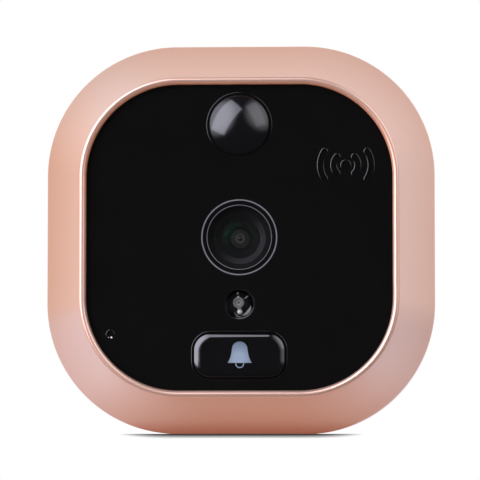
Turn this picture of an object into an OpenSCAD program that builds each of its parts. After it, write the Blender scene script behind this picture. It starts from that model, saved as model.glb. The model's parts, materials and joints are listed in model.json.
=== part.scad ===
// Outdoor unit of a peephole door camera: a rounded square metal bezel round a gloss black panel
// that carries a motion sensor dome, a camera, a light and a bell button, on a hollow threaded
// barrel that goes through the door.
// The door face is the plane y = 0, the front looks towards -y, z is up, and the origin lies on
// the barrel's axis. A depth is a distance in front of the door face. All sizes are millimetres.

/* [Bezel] */
// Side of the square body, across its outer walls
body_side = 68; // [66:0.5:76]
// Radius of the four corners of the outer wall
body_corner_r = 22.8; // [20:0.2:24]
// Wall thickness of the metal bezel
bezel_wall = 1.8; // [1.4:0.1:2.2]
// Width of the sloped face, seen from the front
slope_run = 6; // [5.6:0.1:7]
// Height of the sloped face along the depth
slope_rise = 7.2; // [6:0.1:8]
// Rounding between the side wall and the sloped face
edge_round = 0.8; // [0.3:0.1:1.2]
// Chamfer on the rear edge of the side wall
rear_chamfer = 0.4; // [0.2:0.1:0.6]
// Radius of the rounded bead round the opening
bead_r = 0.68; // [0.5:0.02:0.8]
// Height of the bead above the end of the slope
bead_rise = 0.48; // [0.3:0.02:0.6]
// Width of the flat step between the slope and the bead
bead_step = 0.04; // [0.02:0.02:0.2]
// Thickness of the lip that the panel is bonded behind
lip_t = 0.8; // [0.6:0.1:1.2]
// Radius of the corner bosses that take the rear screws
boss_r = 2.8; // [2.4:0.1:3.2]

/* [Rear cover and gasket] */
// Thickness of the foam pad between the unit and the door
gasket_t = 1; // [0.8:0.1:2]
// How far the rear edge of the body stands off the door
body_standoff = 0.6; // [0.3:0.1:0.7]
// Distance from the outer wall to the edge of the foam pad
gasket_inset = 7.6; // [7.2:0.1:10]
// Thickness of the rear cover
cover_t = 2.4; // [2.2:0.1:3]
// Cord radius of the seal in the cover's edge
seal_r = 0.5; // [0.4:0.05:0.6]
// Thickness of the cover's hub in front of the barrel's flange
hub_t = 2; // [1.8:0.1:3]
// Gap between the hub and the circuit board
board_gap = 0.8; // [0.6:0.1:1.6]

/* [Barrel] */
// Outer radius of the barrel's plain shank
barrel_r = 6; // [5.6:0.1:6.6]
// Radius of the cable bore through the barrel
barrel_bore_r = 4.5; // [3.5:0.1:4.8]
// Length of plain shank behind the door face
shank_len = 8; // [4:0.5:20]
// Pitch of the thread
thread_pitch = 1; // [0.75:0.25:1.5]
// Number of thread turns
thread_turns = 20; // [8:1:40]
// Width of the flange outside the barrel
flange_w = 4; // [3.9:0.1:5]
// Thickness of the flange
flange_t = 1.4; // [1.2:0.1:1.6]
// Number of screws that hold the flange
flange_screw_count = 3; // [3:1:5]

/* [Panel and carrier] */
// Thickness of the front panel
panel_t = 1.8; // [1.5:0.1:2.4]
// Width of the panel's rim that is hidden behind the bezel's lip
panel_overlap = 1.7; // [1.2:0.1:1.8]
// Thickness of the bonding tape
tape_t = 0.2; // [0.1:0.05:0.3]
// Thickness of the carrier plate behind the panel
carrier_t = 1.2; // [1.1:0.1:1.6]
// Room between the circuit board and the carrier plate
front_gap = 6.8; // [6.4:0.1:8]
// Thickness of the circuit board
pcb_t = 1.2; // [0.8:0.1:1.6]
// Radius of the carrier's pillars for the circuit board
pillar_r = 2.2; // [1.8:0.1:2.4]

/* [Motion sensor] */
// Height of the sensor dome above the panel's centre, as a share of half the opening
pir_share = 0.736; // [0.73:0.002:0.766]
// Radius of the dome
pir_dome_r = 5.2; // [4.8:0.1:5.4]
// Height of the dome's curved part
pir_dome_h = 1.5; // [1.2:0.1:3]
// Wall thickness of the dome
pir_dome_t = 0.7; // [0.5:0.1:0.9]
// Radius of the sensor's metal can
pir_can_r = 4.1; // [3.8:0.1:4.2]
// Height of the sensor's metal can
pir_can_h = 4.2; // [3.6:0.1:4.4]

/* [Camera] */
// Radius of the clear window in front of the lens
window_r = 5.6; // [5.4:0.1:6]
// Radius of the lens barrel's front head
lens_head_r = 5.2; // [5.0:0.1:5.3]
// Radius of the lens barrel's threaded body
lens_body_r = 4.4; // [4.2:0.1:4.5]
// Radius of the front glass
lens_glass_r = 3.5; // [3.2:0.1:3.6]
// Gap between the lens and the panel's rear face
lens_gap = 0.6; // [0.4:0.1:1]
// Side of the lens holder's base
holder_side = 13; // [12.6:0.1:13.4]

/* [Night light] */
// Place of the light between the lens holder, at 0, and the button's seal, at 1
led_share = 0.784; // [0.6:0.001:1]
// Radius of the light's clear body
led_r = 2.5; // [2.3:0.1:2.6]
// Length of the light's clear body, dome included
led_len = 8.7; // [8.4:0.1:9]
// Height of the dome's tip above the panel
led_proud = 0.1; // [0:0.05:0.4]

/* [Bell button] */
// Distance of the button below the panel's centre, as a share of half the opening
button_share = 0.771; // [0.764:0.001:0.782]
// Width of the button
button_w = 15.8; // [15:0.1:17]
// Height of the button
button_h = 7.6; // [7.2:0.1:7.8]
// Corner radius of the button
button_corner_r = 2.9; // [2.4:0.1:3.4]
// Rounding of the button's front edge
button_round = 1; // [0.6:0.1:1.2]
// Gap between the button and its hole in the panel
button_gap = 0.35; // [0.3:0.05:0.5]
// Height of the button's face above the panel
button_proud = 0.5; // [0.3:0.1:1]
// Travel of the button
button_travel = 0.8; // [0.5:0.1:0.9]
// Height of the bell sign on the button, clapper included
bell_h = 4.6; // [4.2:0.1:5.2]

/* [Speaker and microphone] */
// Distance of the speaker's centre from the panel opening's right edge
speaker_edge_x = 8.1; // [7.6:0.05:8.2]
// Distance of the speaker's centre from the panel opening's top edge
speaker_edge_z = 14.1; // [13:0.1:14.6]
// Outer radius of the speaker
speaker_r = 7.3; // [7:0.1:7.5]
// Thickness of the speaker
speaker_t = 3; // [2.6:0.1:3.4]
// Width of the sound slots
slot_w = 1; // [0.8:0.05:1.1]
// Middle radius of the inner pair of sound slots
slot_inner_r = 2.1; // [2.1:0.05:2.4]
// Middle radius of the outer pair of sound slots
slot_outer_r = 4.4; // [4.2:0.05:4.7]
// Distance of the microphone from the panel opening's left edge
mic_edge_x = 4.2; // [3.8:0.1:4.6]
// Distance of the microphone from the panel opening's bottom edge
mic_edge_z = 9.8; // [9:0.1:11]
// Radius of the microphone hole
mic_hole_r = 0.7; // [0.6:0.05:1.1]
// Radius of the microphone capsule
mic_r = 3; // [2.5:0.1:3.1]

/* [Screws] */
// Thread radius of the rear cover's screws
cover_screw_r = 1.1; // [0.9:0.05:1.2]
// Length of the rear cover's screws
cover_screw_len = 7; // [6:0.5:8]
// Thread radius of the flange's screws
flange_screw_r = 1; // [0.8:0.05:1.05]
// Thread radius of the circuit board's screws
board_screw_r = 1; // [0.8:0.05:1.1]
// Length of the circuit board's screws
board_screw_len = 5.5; // [4.5:0.5:6]
// Thread radius of the lens holder's screws
holder_screw_r = 0.7; // [0.6:0.05:0.8]

/* [Hidden] */

$fn = 64;
// Overshoot of a cut past the face that it opens
cut = 0.2;
// Sideways clearance of pieces that drop into a pocket
fit = 0.2;
// Clearance of a screw in its hole, and of the seal in its groove
snug = 0.02;

// Depths, stacked from the door to the front
cover_rear = body_standoff;
cover_front = cover_rear + cover_t;
flange_rear = gasket_t;
flange_front = flange_rear + flange_t;
hub_front = flange_front + hub_t;
pcb_rear = hub_front + board_gap;
pcb_front = pcb_rear + pcb_t;
carrier_rear = pcb_front + front_gap;
panel_rear = carrier_rear + carrier_t;
panel_front = panel_rear + panel_t;
lip_rear = panel_front + tape_t;
rim = lip_rear + lip_t;
slope_foot = rim - slope_rise;

// Insets, measured inwards from the outer wall
bead_u = slope_run + bead_step + bead_r;
opening_u = bead_u + bead_r;
panel_u = opening_u - panel_overlap;
pocket_u = panel_u - fit;
cover_u = bezel_wall + fit;
boss_overlap = 0.2;
boss_u = bezel_wall + boss_r - boss_overlap;
board_margin = 0.8;
board_u = boss_u + boss_r + board_margin;
corner_centre = body_side / 2 - body_corner_r;
boss_xy = corner_centre + (body_corner_r - boss_u) * cos(45);
opening_half = body_side / 2 - opening_u;

// Depth of the bezel's sloped face and of its inner face at an inset u
slope_ratio = slope_rise / slope_run;
slope_slant = sqrt(1 + slope_ratio * slope_ratio);
function slope_at(u) = slope_foot + slope_ratio * u;
function slope_inside_at(u) = slope_at(u) - bezel_wall * slope_slant;
boss_top = slope_at(boss_u - boss_r) - bezel_wall / 2;
boss_hole_spare = 1;

// Screw heads, with a cross recess
head_ratio = 1.8;
head_height_ratio = 1;
recess_depth = 0.45;
recess_w = 0.4;
recess_ratio = 0.7;

// Rear cover and barrel
gasket_recess = gasket_t - body_standoff;
gasket_hole_gap = 1.5;
gasket_hole_r = barrel_r + gasket_hole_gap;
flange_r = barrel_r + flange_w;
hub_margin = 3;
hub_r = flange_r + hub_margin;
flange_screw_ring_r = barrel_r + flange_w / 2;
hub_skin = 0.2;
flange_screw_len = flange_t + hub_t - hub_skin;
crest_relief = 0.05;
thread_crest_r = barrel_r - crest_relief;
cable_hole_gap = 0.5;
cable_hole_r = barrel_bore_r + cable_hole_gap;
thread_depth = 0.6 * thread_pitch;
thread_land = 0.1 * thread_pitch;
seal_groove_w = 2 * seal_r + fit;

// Pillars for the circuit board: (x, z) as shares of half the opening
pillar_shares = [[-0.677, -0.226], [0.677, -0.226], [-0.376, 0.846], [0.376, 0.846]];
pillar_hole_spare = 0.7;
pillar_hole_depth = board_screw_len - pcb_t + pillar_hole_spare;
board_hole_gap = 0.1;

// Motion sensor
pir_z = pir_share * opening_half;
pir_hole_gap = 0.45;
pir_hole_r = pir_dome_r + pir_hole_gap;
pir_flange_w = 0.9;
pir_flange_r = pir_hole_r + pir_flange_w;
pir_flange_t = 0.8;
pir_rim_rise = 0.3;
pir_curve_r = (pow(pir_dome_r, 2) + pow(pir_dome_h, 2)) / (2 * pir_dome_h);
pir_stand = 0.4;
pir_base_w = 0.5;
pir_base_r = pir_can_r + pir_base_w;
pir_base_t = 0.5;
pir_can_front = pcb_front + pir_stand + pir_base_t + pir_can_h;
pir_filter_w = 4.6;
pir_filter_h = 3.8;
pir_filter_t = 0.3;
lead_r = 0.22;
lead_hole_r = 0.4;
lead_tail = 0.5;
pir_lead_ring_r = 2.54;

// Camera
sensor_size = [7, 6.4, 1];
holder_cavity = 9;
holder_roof = 2;
holder_roof_t = 0.6;
holder_aperture_r = 2.6;
holder_neck_wall = 1.1;
holder_neck_r = lens_body_r + holder_neck_wall;
holder_neck_gap = 1.2;
holder_neck_front = carrier_rear - holder_neck_gap;
holder_ear_out = 2.4;
holder_ear_x = holder_side / 2 + holder_ear_out;
holder_ear_r = 2;
holder_ear_t = 2;
filter_side = 6.8;
filter_t = 0.4;
lens_front = panel_rear - lens_gap;
lens_head_t = 1.6;
lens_rear_gap = 0.2;
lens_rear = pcb_front + holder_roof + holder_roof_t + lens_rear_gap;
lens_hole_gap = 1;
lens_hole_r = lens_head_r + lens_hole_gap;
lens_bore_r = 2.4;
lens_chamfer = 0.9;
glass_sink = 1.2;
glass_seat = lens_front - glass_sink;
glass_curve_r = 6.5;
rear_glass_curve_r = 4.5;
rear_glass_t = 1.4;
iris_r = 0.9;
iris_t = 0.6;
baffle_mouth_r = 1.9;
holder_block_spare = 0.8;

// Night light
led_front = panel_front + led_proud;
led_base = led_front - led_len;
led_flange_w = 0.4;
led_flange_r = led_r + led_flange_w;
led_flange_t = 1;
led_hole_gap = 0.15;
led_hole_r = led_r + led_hole_gap;
led_wire = 0.5;
led_wire_z = 1.27;
led_cup_r = 0.41;
led_cup_z = 0.17;
led_cup_h = 0.8;
led_cup_floor_t = 0.3;
led_cup_floor_r = 0.2;
led_cup_wall = 0.06;
led_post_r = 0.23;
led_post_z = -0.58;
led_post_rise = 0.6;
led_cup_rise = 4;
led_cup_level = led_base + led_cup_rise;
led_bar_rise = 1.6;
led_bar_level = led_base + led_bar_rise;
led_bar_t = 0.6;

// Bell button, its seal and its switch
button_face = panel_front + button_proud;
button_flange = 0.5;
button_flange_t = 0.8;
button_flange_rear = panel_rear - button_flange_t;
button_wall = 1;
button_top_t = 1.6;
button_post_r = 1.6;
switch_side = 6;
switch_shell_t = 0.3;
switch_h = 2.8;
switch_top = pcb_front + switch_h;
plunger_r = 1.7;
plunger_gap = 0.1;
plunger_bore_r = plunger_r + plunger_gap;
plunger_front = switch_top + button_travel;
plunger_len = 1.8;
plunger_rear = plunger_front - plunger_len;
switch_dome_t = 0.12;
terminal_w = 1.2;
terminal_h = 0.8;
terminal_t = 0.3;
terminal_z = 2.25;
backlight_x = 3.6;
backlight_w = 2.8;
backlight_h = 3.5;
backlight_t = 1.4;
switch_floor = plunger_rear - button_travel - switch_dome_t;
boot_t = 0.5;
boot_pad_r = 2.2;
boot_pad_t = 0.3;
boot_floor = plunger_front + boot_pad_t;
boot_spare = 0.2;
boot_shelf = button_flange_rear - button_travel - boot_spare - boot_t;
boot_step = 0.8;
boot_rim = 0.8;
legend_depth = button_top_t / 2;

// The light stands between the lens holder and the button's seal
button_z = button_share * opening_half;
boot_grow = button_gap + button_flange + fit;
boot_half_h = button_h / 2 + boot_grow + boot_rim;
led_nearest_lens = holder_side / 2 + led_flange_r + fit;
led_nearest_button = button_z - boot_half_h - led_r - fit;
led_z = led_nearest_lens + led_share * (led_nearest_button - led_nearest_lens);

// Speaker and microphone
speaker_x = opening_half - speaker_edge_x;
speaker_z = opening_half - speaker_edge_z;
speaker_gasket_t = 0.8;
speaker_front = carrier_rear - speaker_gasket_t;
speaker_rear = speaker_front - speaker_t;
speaker_rim = 1.2;
speaker_inner_r = speaker_r - speaker_rim;
basket_floor = 0.5;
basket_step = 0.6;
cone_level = 0.4;
cone_t = 0.2;
cone_film_t = 0.15;
cone_dome_r = 5.5;
cone_dome_edge = 3.4;
cone_overlap = 0.1;
magnet_r = 3.6;
magnet_t = 1.5;
contact_r = 0.4;
contact_ring_r = 5;
sound_hole_margin = 0.6;
sound_hole_r = slot_outer_r + slot_w / 2 + sound_hole_margin;
mesh_margin = 0.8;
mesh_r = sound_hole_r + mesh_margin;
mesh_t = 0.2;
collar_t = 0.8;
collar_len = 2.6;
slot_inner_angle = 44;
slot_outer_angle = 33;
slot_dot_r = 0.85;
mic_x = mic_edge_x - opening_half;
mic_z = mic_edge_z - opening_half;
mic_boot_wall = 0.7;
mic_boot_r = mic_r + mic_boot_wall;
mic_t = 2.6;
mic_sink = 1.8;
mic_front = panel_rear - mic_sink;
mic_rear = mic_front - mic_t;
mic_pin_x = 1.2;
mic_pin_r = 0.25;
mic_pin_sink = 0.1;

// Chips and small parts on the rear of the circuit board. Each part has its place (x, z) as shares of
// half the opening, and its width, height and thickness
processor_share_x = -0.7;
processor_share_z = 0.45;
processor_side = 8;
processor_t = 1;
board_part_sizes = [[0.66, 0.34, 5, 4, 1.1], [0.66, 0.55, 3, 2, 0.9], [-0.75, 0.08, 3.2, 1.6, 0.8],
    [-0.53, -0.6, 4, 3, 1], [0.53, -0.6, 3.2, 2.5, 1.2], [0.75, -0.53, 2, 1.25, 0.7],
    [-0.75, -0.53, 2, 1.25, 0.7]];
socket_share = 0.714;
socket_w = 15;
socket_h = 4.6;
socket_t = 1.6;
socket_wall = 0.5;
ribbon_w = 12.6;
ribbon_t = 0.5;

// Colours
rose_gold = [0.86, 0.68, 0.6];
gloss_black = [0.05, 0.05, 0.055];
dull_black = [0.1, 0.1, 0.11];
board_green = [0.07, 0.28, 0.16];
steel = [0.72, 0.72, 0.74];
clear = [0.8, 0.86, 0.9, 0.4];

// Puts flat work, drawn with x to the right and y up, at a depth, rising towards the front
module at(depth) {
    rotate([90, 0, 0]) translate([0, 0, depth]) children();
}

// Rectangle with true arcs at its corners
module rounded_rect(w, h, r) {
    square([w - 2 * r, h], center = true);
    square([w, h - 2 * r], center = true);
    for (sx = [-1, 1], sy = [-1, 1])
        translate([sx * (w / 2 - r), sy * (h / 2 - r)]) circle(r);
}

// The body's outline, drawn in by an inset from the outer wall
module body_outline(inset) {
    side = body_side - 2 * inset;
    rounded_rect(side, side, body_corner_r - inset);
}

// Carries a section, drawn as (inset, depth), once round a rounded rectangle
module round_outline(w, h, r) {
    for (quarter = [0:3]) {
        along = quarter % 2 == 0 ? w / 2 : h / 2;
        across = quarter % 2 == 0 ? h / 2 : w / 2;
        rotate([0, 0, 90 * quarter]) {
            translate([along - r, across - r, 0])
                rotate_extrude(angle = 90)
                    translate([r, 0]) mirror([1, 0]) children();
            rotate([90, 0, 0])
                linear_extrude(2 * (across - r), center = true)
                    translate([along, 0]) mirror([1, 0]) children();
        }
    }
}

module round_the_body() {
    round_outline(body_side, body_side, body_corner_r) children();
}

module at_corner_bosses() {
    for (sx = [-1, 1], sy = [-1, 1]) translate([sx * boss_xy, sy * boss_xy, 0]) children();
}

module at_flange_screws() {
    for (i = [0:flange_screw_count - 1])
        rotate([0, 0, 90 + i * 360 / flange_screw_count])
            translate([flange_screw_ring_r, 0, 0]) children();
}

module at_pillars() {
    for (share = pillar_shares) translate([share[0] * opening_half, share[1] * opening_half, 0])
        children();
}

module at_holder_ears() {
    for (sx = [-1, 1]) translate([sx * holder_ear_x, 0, 0]) children();
}

// Cross recess for a screw's head, cut from its top
module cross_recess(head_r) {
    for (turn = [0, 90]) rotate([0, 0, turn])
        translate([-recess_ratio * head_r, -recess_w / 2, -cut])
            cube([2 * recess_ratio * head_r, recess_w, recess_depth + cut]);
}

// Screw with a flush conical head: the head's top is at 0 and the shank runs along +z
module countersunk_screw(r, length) {
    difference() {
        union() {
            cylinder(r1 = head_ratio * r, r2 = r, h = head_height_ratio * r);
            cylinder(r = r, h = length);
        }
        cross_recess(head_ratio * r);
    }
}

// Screw with a flat round head that stands on 0 behind the shank
module pan_screw(r, length) {
    head_h = head_height_ratio * r;
    difference() {
        union() {
            translate([0, 0, -head_h]) cylinder(r = head_ratio * r, h = head_h);
            cylinder(r = r, h = length);
        }
        translate([0, 0, -head_h]) cross_recess(head_ratio * r);
    }
}

// Clearance hole for a flush screw, countersunk from 0
module countersunk_hole(r, length) {
    head_r = head_ratio * r + snug;
    translate([0, 0, -cut]) cylinder(r = head_r, h = cut);
    cylinder(r1 = head_r, r2 = r + snug, h = head_height_ratio * r);
    cylinder(r = r + snug, h = length);
}

// Metal bezel
module bezel_section() {
    round_level = slope_foot + edge_round * (slope_ratio - slope_slant);
    tangent_u = edge_round * (1 - slope_ratio / slope_slant);
    polygon([
        [rear_chamfer, cover_rear], [0, cover_rear + rear_chamfer], [0, round_level],
        [tangent_u, slope_at(tangent_u)], [slope_run, rim], [bead_u, rim], [opening_u, rim + bead_rise - bead_r],
        [opening_u, lip_rear], [pocket_u, lip_rear], [pocket_u, slope_inside_at(pocket_u)],
        [bezel_wall, slope_inside_at(bezel_wall)], [bezel_wall, cover_rear]]);
    translate([edge_round, round_level]) circle(edge_round);
    intersection() {
        translate([bead_u, rim + bead_rise - bead_r]) circle(bead_r);
        translate([bead_u - bead_r, lip_rear]) square([2 * bead_r, lip_t + bead_rise]);
    }
}

module bezel_frame() {
    color(rose_gold) difference() {
        union() {
            at(0) round_the_body() bezel_section();
            at(cover_front) at_corner_bosses() cylinder(r = boss_r, h = boss_top - cover_front);
        }
        at(cover_front - cut) at_corner_bosses()
            cylinder(r = cover_screw_r + snug, h = cover_screw_len - cover_t + cut + boss_hole_spare);
    }
}

module panel_tape() {
    color("dimgray") at(panel_front) linear_extrude(tape_t) difference() {
        body_outline(panel_u);
        body_outline(opening_u);
    }
}

// Gloss black front panel
module sound_slot(middle_r, half_angle) {
    rotate([0, 0, -half_angle]) rotate_extrude(angle = 2 * half_angle)
        translate([middle_r - slot_w / 2, 0]) square([slot_w, panel_t + 2 * cut]);
    for (side = [-1, 1]) rotate([0, 0, side * half_angle])
        translate([middle_r, 0, 0]) cylinder(d = slot_w, h = panel_t + 2 * cut);
}

module sound_slots() {
    cylinder(r = slot_dot_r, h = panel_t + 2 * cut);
    for (turn = [0, 180]) rotate([0, 0, turn]) {
        sound_slot(slot_inner_r, slot_inner_angle);
        sound_slot(slot_outer_r, slot_outer_angle);
    }
}

module button_outline(grow) {
    translate([0, -button_z])
        rounded_rect(button_w + 2 * grow, button_h + 2 * grow, button_corner_r + grow);
}

module front_panel() {
    through = panel_t + 2 * cut;
    color(gloss_black) difference() {
        at(panel_rear) linear_extrude(panel_t) body_outline(panel_u);
        at(panel_rear - cut) {
            translate([0, pir_z, 0]) cylinder(r = pir_hole_r, h = through);
            cylinder(r = window_r + snug, h = through);
            translate([0, -led_z, 0]) cylinder(r = led_hole_r, h = through);
            translate([mic_x, mic_z, 0]) cylinder(r = mic_hole_r, h = through);
            translate([speaker_x, speaker_z, 0]) sound_slots();
            linear_extrude(through) button_outline(button_gap);
        }
    }
}

// Plate behind the panel that holds the speaker, the microphone and the circuit board
module inner_carrier() {
    through = carrier_t + 2 * cut;
    color(dull_black) difference() {
        union() {
            at(carrier_rear) linear_extrude(carrier_t) body_outline(panel_u);
            at(pcb_front) at_pillars() cylinder(r = pillar_r, h = front_gap);
            at_speaker(carrier_rear - collar_len) cylinder(r = speaker_r + fit + collar_t, h = collar_len);
        }
        at(carrier_rear - cut) {
            translate([0, pir_z, 0]) cylinder(r = pir_flange_r + fit, h = through);
            cylinder(r = lens_hole_r, h = through);
            translate([0, -led_z, 0]) cylinder(r = led_hole_r, h = through);
            translate([mic_x, mic_z, 0]) cylinder(r = mic_boot_r + snug, h = through);
            translate([speaker_x, speaker_z, 0]) cylinder(r = sound_hole_r, h = through);
            linear_extrude(through) button_outline(boot_grow);
        }
        at_speaker(panel_rear - mesh_t) cylinder(r = mesh_r + fit, h = mesh_t + cut);
        at_speaker(carrier_rear - collar_len - cut) cylinder(r = speaker_r + fit, h = collar_len + cut);
        at(pcb_front - cut) at_pillars() cylinder(r = board_screw_r + snug, h = pillar_hole_depth + cut);
    }
}

// Camera
module lens_window() {
    color(clear) at(panel_rear) cylinder(r = window_r, h = panel_t);
}

module lens_barrel() {
    color(dull_black) difference() {
        union() {
            at(lens_rear) cylinder(r = lens_body_r, h = lens_front - lens_rear);
            at(lens_front - lens_head_t) cylinder(r = lens_head_r, h = lens_head_t);
        }
        at(lens_rear - cut) cylinder(r = lens_bore_r, h = lens_front - lens_rear);
        at(glass_seat) cylinder(r = lens_glass_r + snug, h = lens_front - glass_seat + cut);
        at(lens_front - lens_chamfer)
            cylinder(r1 = lens_glass_r + snug, r2 = lens_glass_r + lens_chamfer, h = lens_chamfer + snug);
    }
}

module front_glass() {
    sag = glass_curve_r - sqrt(pow(glass_curve_r, 2) - pow(lens_glass_r, 2));
    color(clear) at(glass_seat) intersection() {
        cylinder(r = lens_glass_r, h = 2 * sag);
        translate([0, 0, sag - glass_curve_r]) sphere(glass_curve_r);
    }
}

module lens_baffle() {
    baffle_rear = lens_rear + rear_glass_t;
    baffle_h = glass_seat - baffle_rear;
    color(dull_black) at(baffle_rear) difference() {
        cylinder(r = lens_bore_r - snug, h = baffle_h);
        translate([0, 0, -cut]) cylinder(r = iris_r, h = baffle_h);
        translate([0, 0, iris_t]) cylinder(r1 = iris_r, r2 = baffle_mouth_r, h = baffle_h - iris_t + snug);
    }
}

module rear_glass() {
    color(clear) at(lens_rear) intersection() {
        cylinder(r = lens_bore_r - snug, h = rear_glass_t);
        translate([0, 0, rear_glass_t - rear_glass_curve_r]) sphere(rear_glass_curve_r);
    }
}

module lens_holder() {
    roof_front = pcb_front + holder_roof + holder_roof_t;
    holder_block_h = roof_front - pcb_front + holder_block_spare;
    color(dull_black) difference() {
        union() {
            at(pcb_front) linear_extrude(holder_block_h) square(holder_side, center = true);
            at(pcb_front) cylinder(r = holder_neck_r, h = holder_neck_front - pcb_front);
            at(pcb_front) at_holder_ears() cylinder(r = holder_ear_r, h = holder_ear_t);
            at(pcb_front) linear_extrude(holder_ear_t)
                square([2 * holder_ear_x, 2 * holder_ear_r], center = true);
        }
        at(pcb_front - cut) linear_extrude(holder_roof + cut) square(holder_cavity, center = true);
        at(pcb_front) cylinder(r = holder_aperture_r, h = holder_neck_front - pcb_front);
        at(roof_front) cylinder(r = lens_body_r + snug, h = holder_neck_front - roof_front + cut);
        at(pcb_front - cut) at_holder_ears()
            cylinder(r = holder_screw_r + snug, h = holder_ear_t + 2 * cut);
    }
}

module holder_screws() {
    color(steel) at(pcb_front + holder_ear_t) at_holder_ears() mirror([0, 0, 1])
        pan_screw(holder_screw_r, holder_ear_t + pcb_t);
}

module infrared_filter() {
    color([0.6, 0.75, 0.8, 0.5]) at(pcb_front + holder_roof - filter_t)
        linear_extrude(filter_t) square(filter_side, center = true);
}

module image_sensor() {
    color([0.15, 0.16, 0.2]) at(pcb_front)
        linear_extrude(sensor_size[2]) square([sensor_size[0], sensor_size[1]], center = true);
}

// Motion sensor
module at_pir(depth) {
    at(depth) translate([0, pir_z, 0]) children();
}

// Round post with a flat-curved end, made smaller all round by inset
module pir_cap(from, inset) {
    top = panel_front + pir_rim_rise + pir_dome_h;
    intersection() {
        at_pir(from) cylinder(r = pir_dome_r - inset, h = top - from);
        at_pir(top - pir_curve_r) sphere(pir_curve_r - inset);
    }
}

module pir_dome() {
    flange_back = panel_rear - pir_flange_t;
    color(gloss_black) difference() {
        union() {
            at_pir(flange_back) cylinder(r = pir_flange_r, h = pir_flange_t);
            pir_cap(flange_back, 0);
        }
        pir_cap(flange_back - cut, pir_dome_t);
    }
}

module at_pir_leads() {
    for (turn = [45, 135, 270]) rotate([0, 0, turn]) translate([pir_lead_ring_r, 0, 0]) children();
}

module pir_can() {
    base = pcb_front + pir_stand;
    color(steel) difference() {
        union() {
            at_pir(base) cylinder(r = pir_base_r, h = pir_base_t);
            at_pir(base) cylinder(r = pir_can_r, h = pir_base_t + pir_can_h);
            at_pir(pcb_rear - lead_tail) at_pir_leads()
                cylinder(r = lead_r, h = pcb_t + lead_tail + pir_stand + pir_base_t);
        }
        at_pir(pir_can_front - pir_filter_t) linear_extrude(pir_filter_t + cut)
            square([pir_filter_w, pir_filter_h], center = true);
    }
}

module pir_filter() {
    color([0.25, 0.25, 0.3]) at_pir(pir_can_front - pir_filter_t) linear_extrude(pir_filter_t)
        square([pir_filter_w, pir_filter_h], center = true);
}

// Night light: clear body moulded round its two leads
module led_wire_post(z, from, to) {
    at(from) translate([-led_wire / 2, z - led_wire / 2, 0]) cube([led_wire, led_wire, to - from]);
}

module led_lead_shapes() {
    tail = pcb_rear - lead_tail;
    translate([0, 0, -led_z]) {
        // The cup's lead runs up one side, crosses over and carries the cup
        led_wire_post(led_wire_z, tail, led_bar_level + led_bar_t);
        at(led_bar_level) translate([-led_wire / 2, led_cup_z - led_wire / 2, 0])
            cube([led_wire, led_wire_z - led_cup_z + led_wire, led_bar_t]);
        led_wire_post(led_cup_z, led_bar_level, led_cup_level);
        at(led_cup_level) translate([0, led_cup_z, 0]) difference() {
            cylinder(r = led_cup_r, h = led_cup_h);
            translate([0, 0, led_cup_floor_t])
                cylinder(r1 = led_cup_floor_r, r2 = led_cup_r - led_cup_wall,
                    h = led_cup_h - led_cup_floor_t + snug);
        }
        // The other lead ends in a small round post beside the cup
        led_wire_post(-led_wire_z, tail, led_bar_level + led_bar_t);
        at(led_bar_level) translate([-led_wire / 2, -led_wire_z - led_wire / 2, 0])
            cube([led_wire, led_wire_z + led_post_z + led_wire, led_bar_t]);
        at(led_bar_level) translate([0, led_post_z, 0])
            cylinder(r = led_post_r, h = led_cup_level - led_bar_level + led_post_rise);
    }
}

module led_leads() {
    color(steel) led_lead_shapes();
}

module led_body() {
    dome_centre = led_front - led_r;
    color(clear) difference() {
        translate([0, 0, -led_z]) {
            at(led_base) cylinder(r = led_flange_r, h = led_flange_t);
            at(led_base) cylinder(r = led_r, h = dome_centre - led_base);
            at(dome_centre) sphere(led_r);
        }
        led_lead_shapes();
    }
}

// Bell button
module at_button(depth) {
    at(depth) translate([0, -button_z, 0]) children();
}

// The bell sign, drawn 4.6 tall: straight splay and a cubic flare from the shoulder to the mouth,
// under a low round crown
bell_drawn_h = 4.6;
bell_mouth = 0.9;
bell_shoulder = 3.7;
bell_waist = 1.36;
bell_splay = 0.32;
bell_flare = 0.44;
bell_clapper_r = 0.76;
bell_clapper_lap = 0.1;
bell_line = 0.2;
bell_steps = 12;
function bell_side(side) = concat(
    [for (i = [0:bell_steps]) let (t = i / bell_steps)
        [side * (bell_waist + bell_splay * (1 - t) + bell_flare * pow(1 - t, 3)),
            bell_mouth + t * (bell_shoulder - bell_mouth)]],
    [for (i = [1:bell_steps - 1]) let (a = 90 * i / bell_steps)
        [side * bell_waist * cos(a), bell_shoulder + (bell_drawn_h - bell_shoulder) * sin(a)]]);
function reversed(points) = [for (i = [len(points) - 1:-1:0]) points[i]];

module bell_sign() {
    scale(bell_h / bell_drawn_h) translate([0, -bell_drawn_h / 2]) {
        polygon(concat(bell_side(1), [[0, bell_drawn_h]], reversed(bell_side(-1))));
        translate([0, bell_clapper_r]) difference() {
            circle(bell_clapper_r);
            circle(bell_clapper_r - bell_line);
            translate([-bell_clapper_r, bell_clapper_lap]) square(2 * bell_clapper_r);
        }
    }
}

// Section of the button from its side to the corner's axis, with the front edge rounded
module button_section() {
    edge_level = button_face - button_round;
    translate([0, button_flange_rear]) square([button_corner_r, edge_level - button_flange_rear]);
    translate([button_round, button_flange_rear])
        square([button_corner_r - button_round, button_face - button_flange_rear]);
    translate([button_round, edge_level]) circle(button_round);
}

module button_block() {
    at_button(0) round_outline(button_w, button_h, button_corner_r) button_section();
    at_button(button_flange_rear) linear_extrude(button_face - button_flange_rear)
        square([button_w - 2 * button_corner_r, button_h - 2 * button_corner_r], center = true);
}

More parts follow.
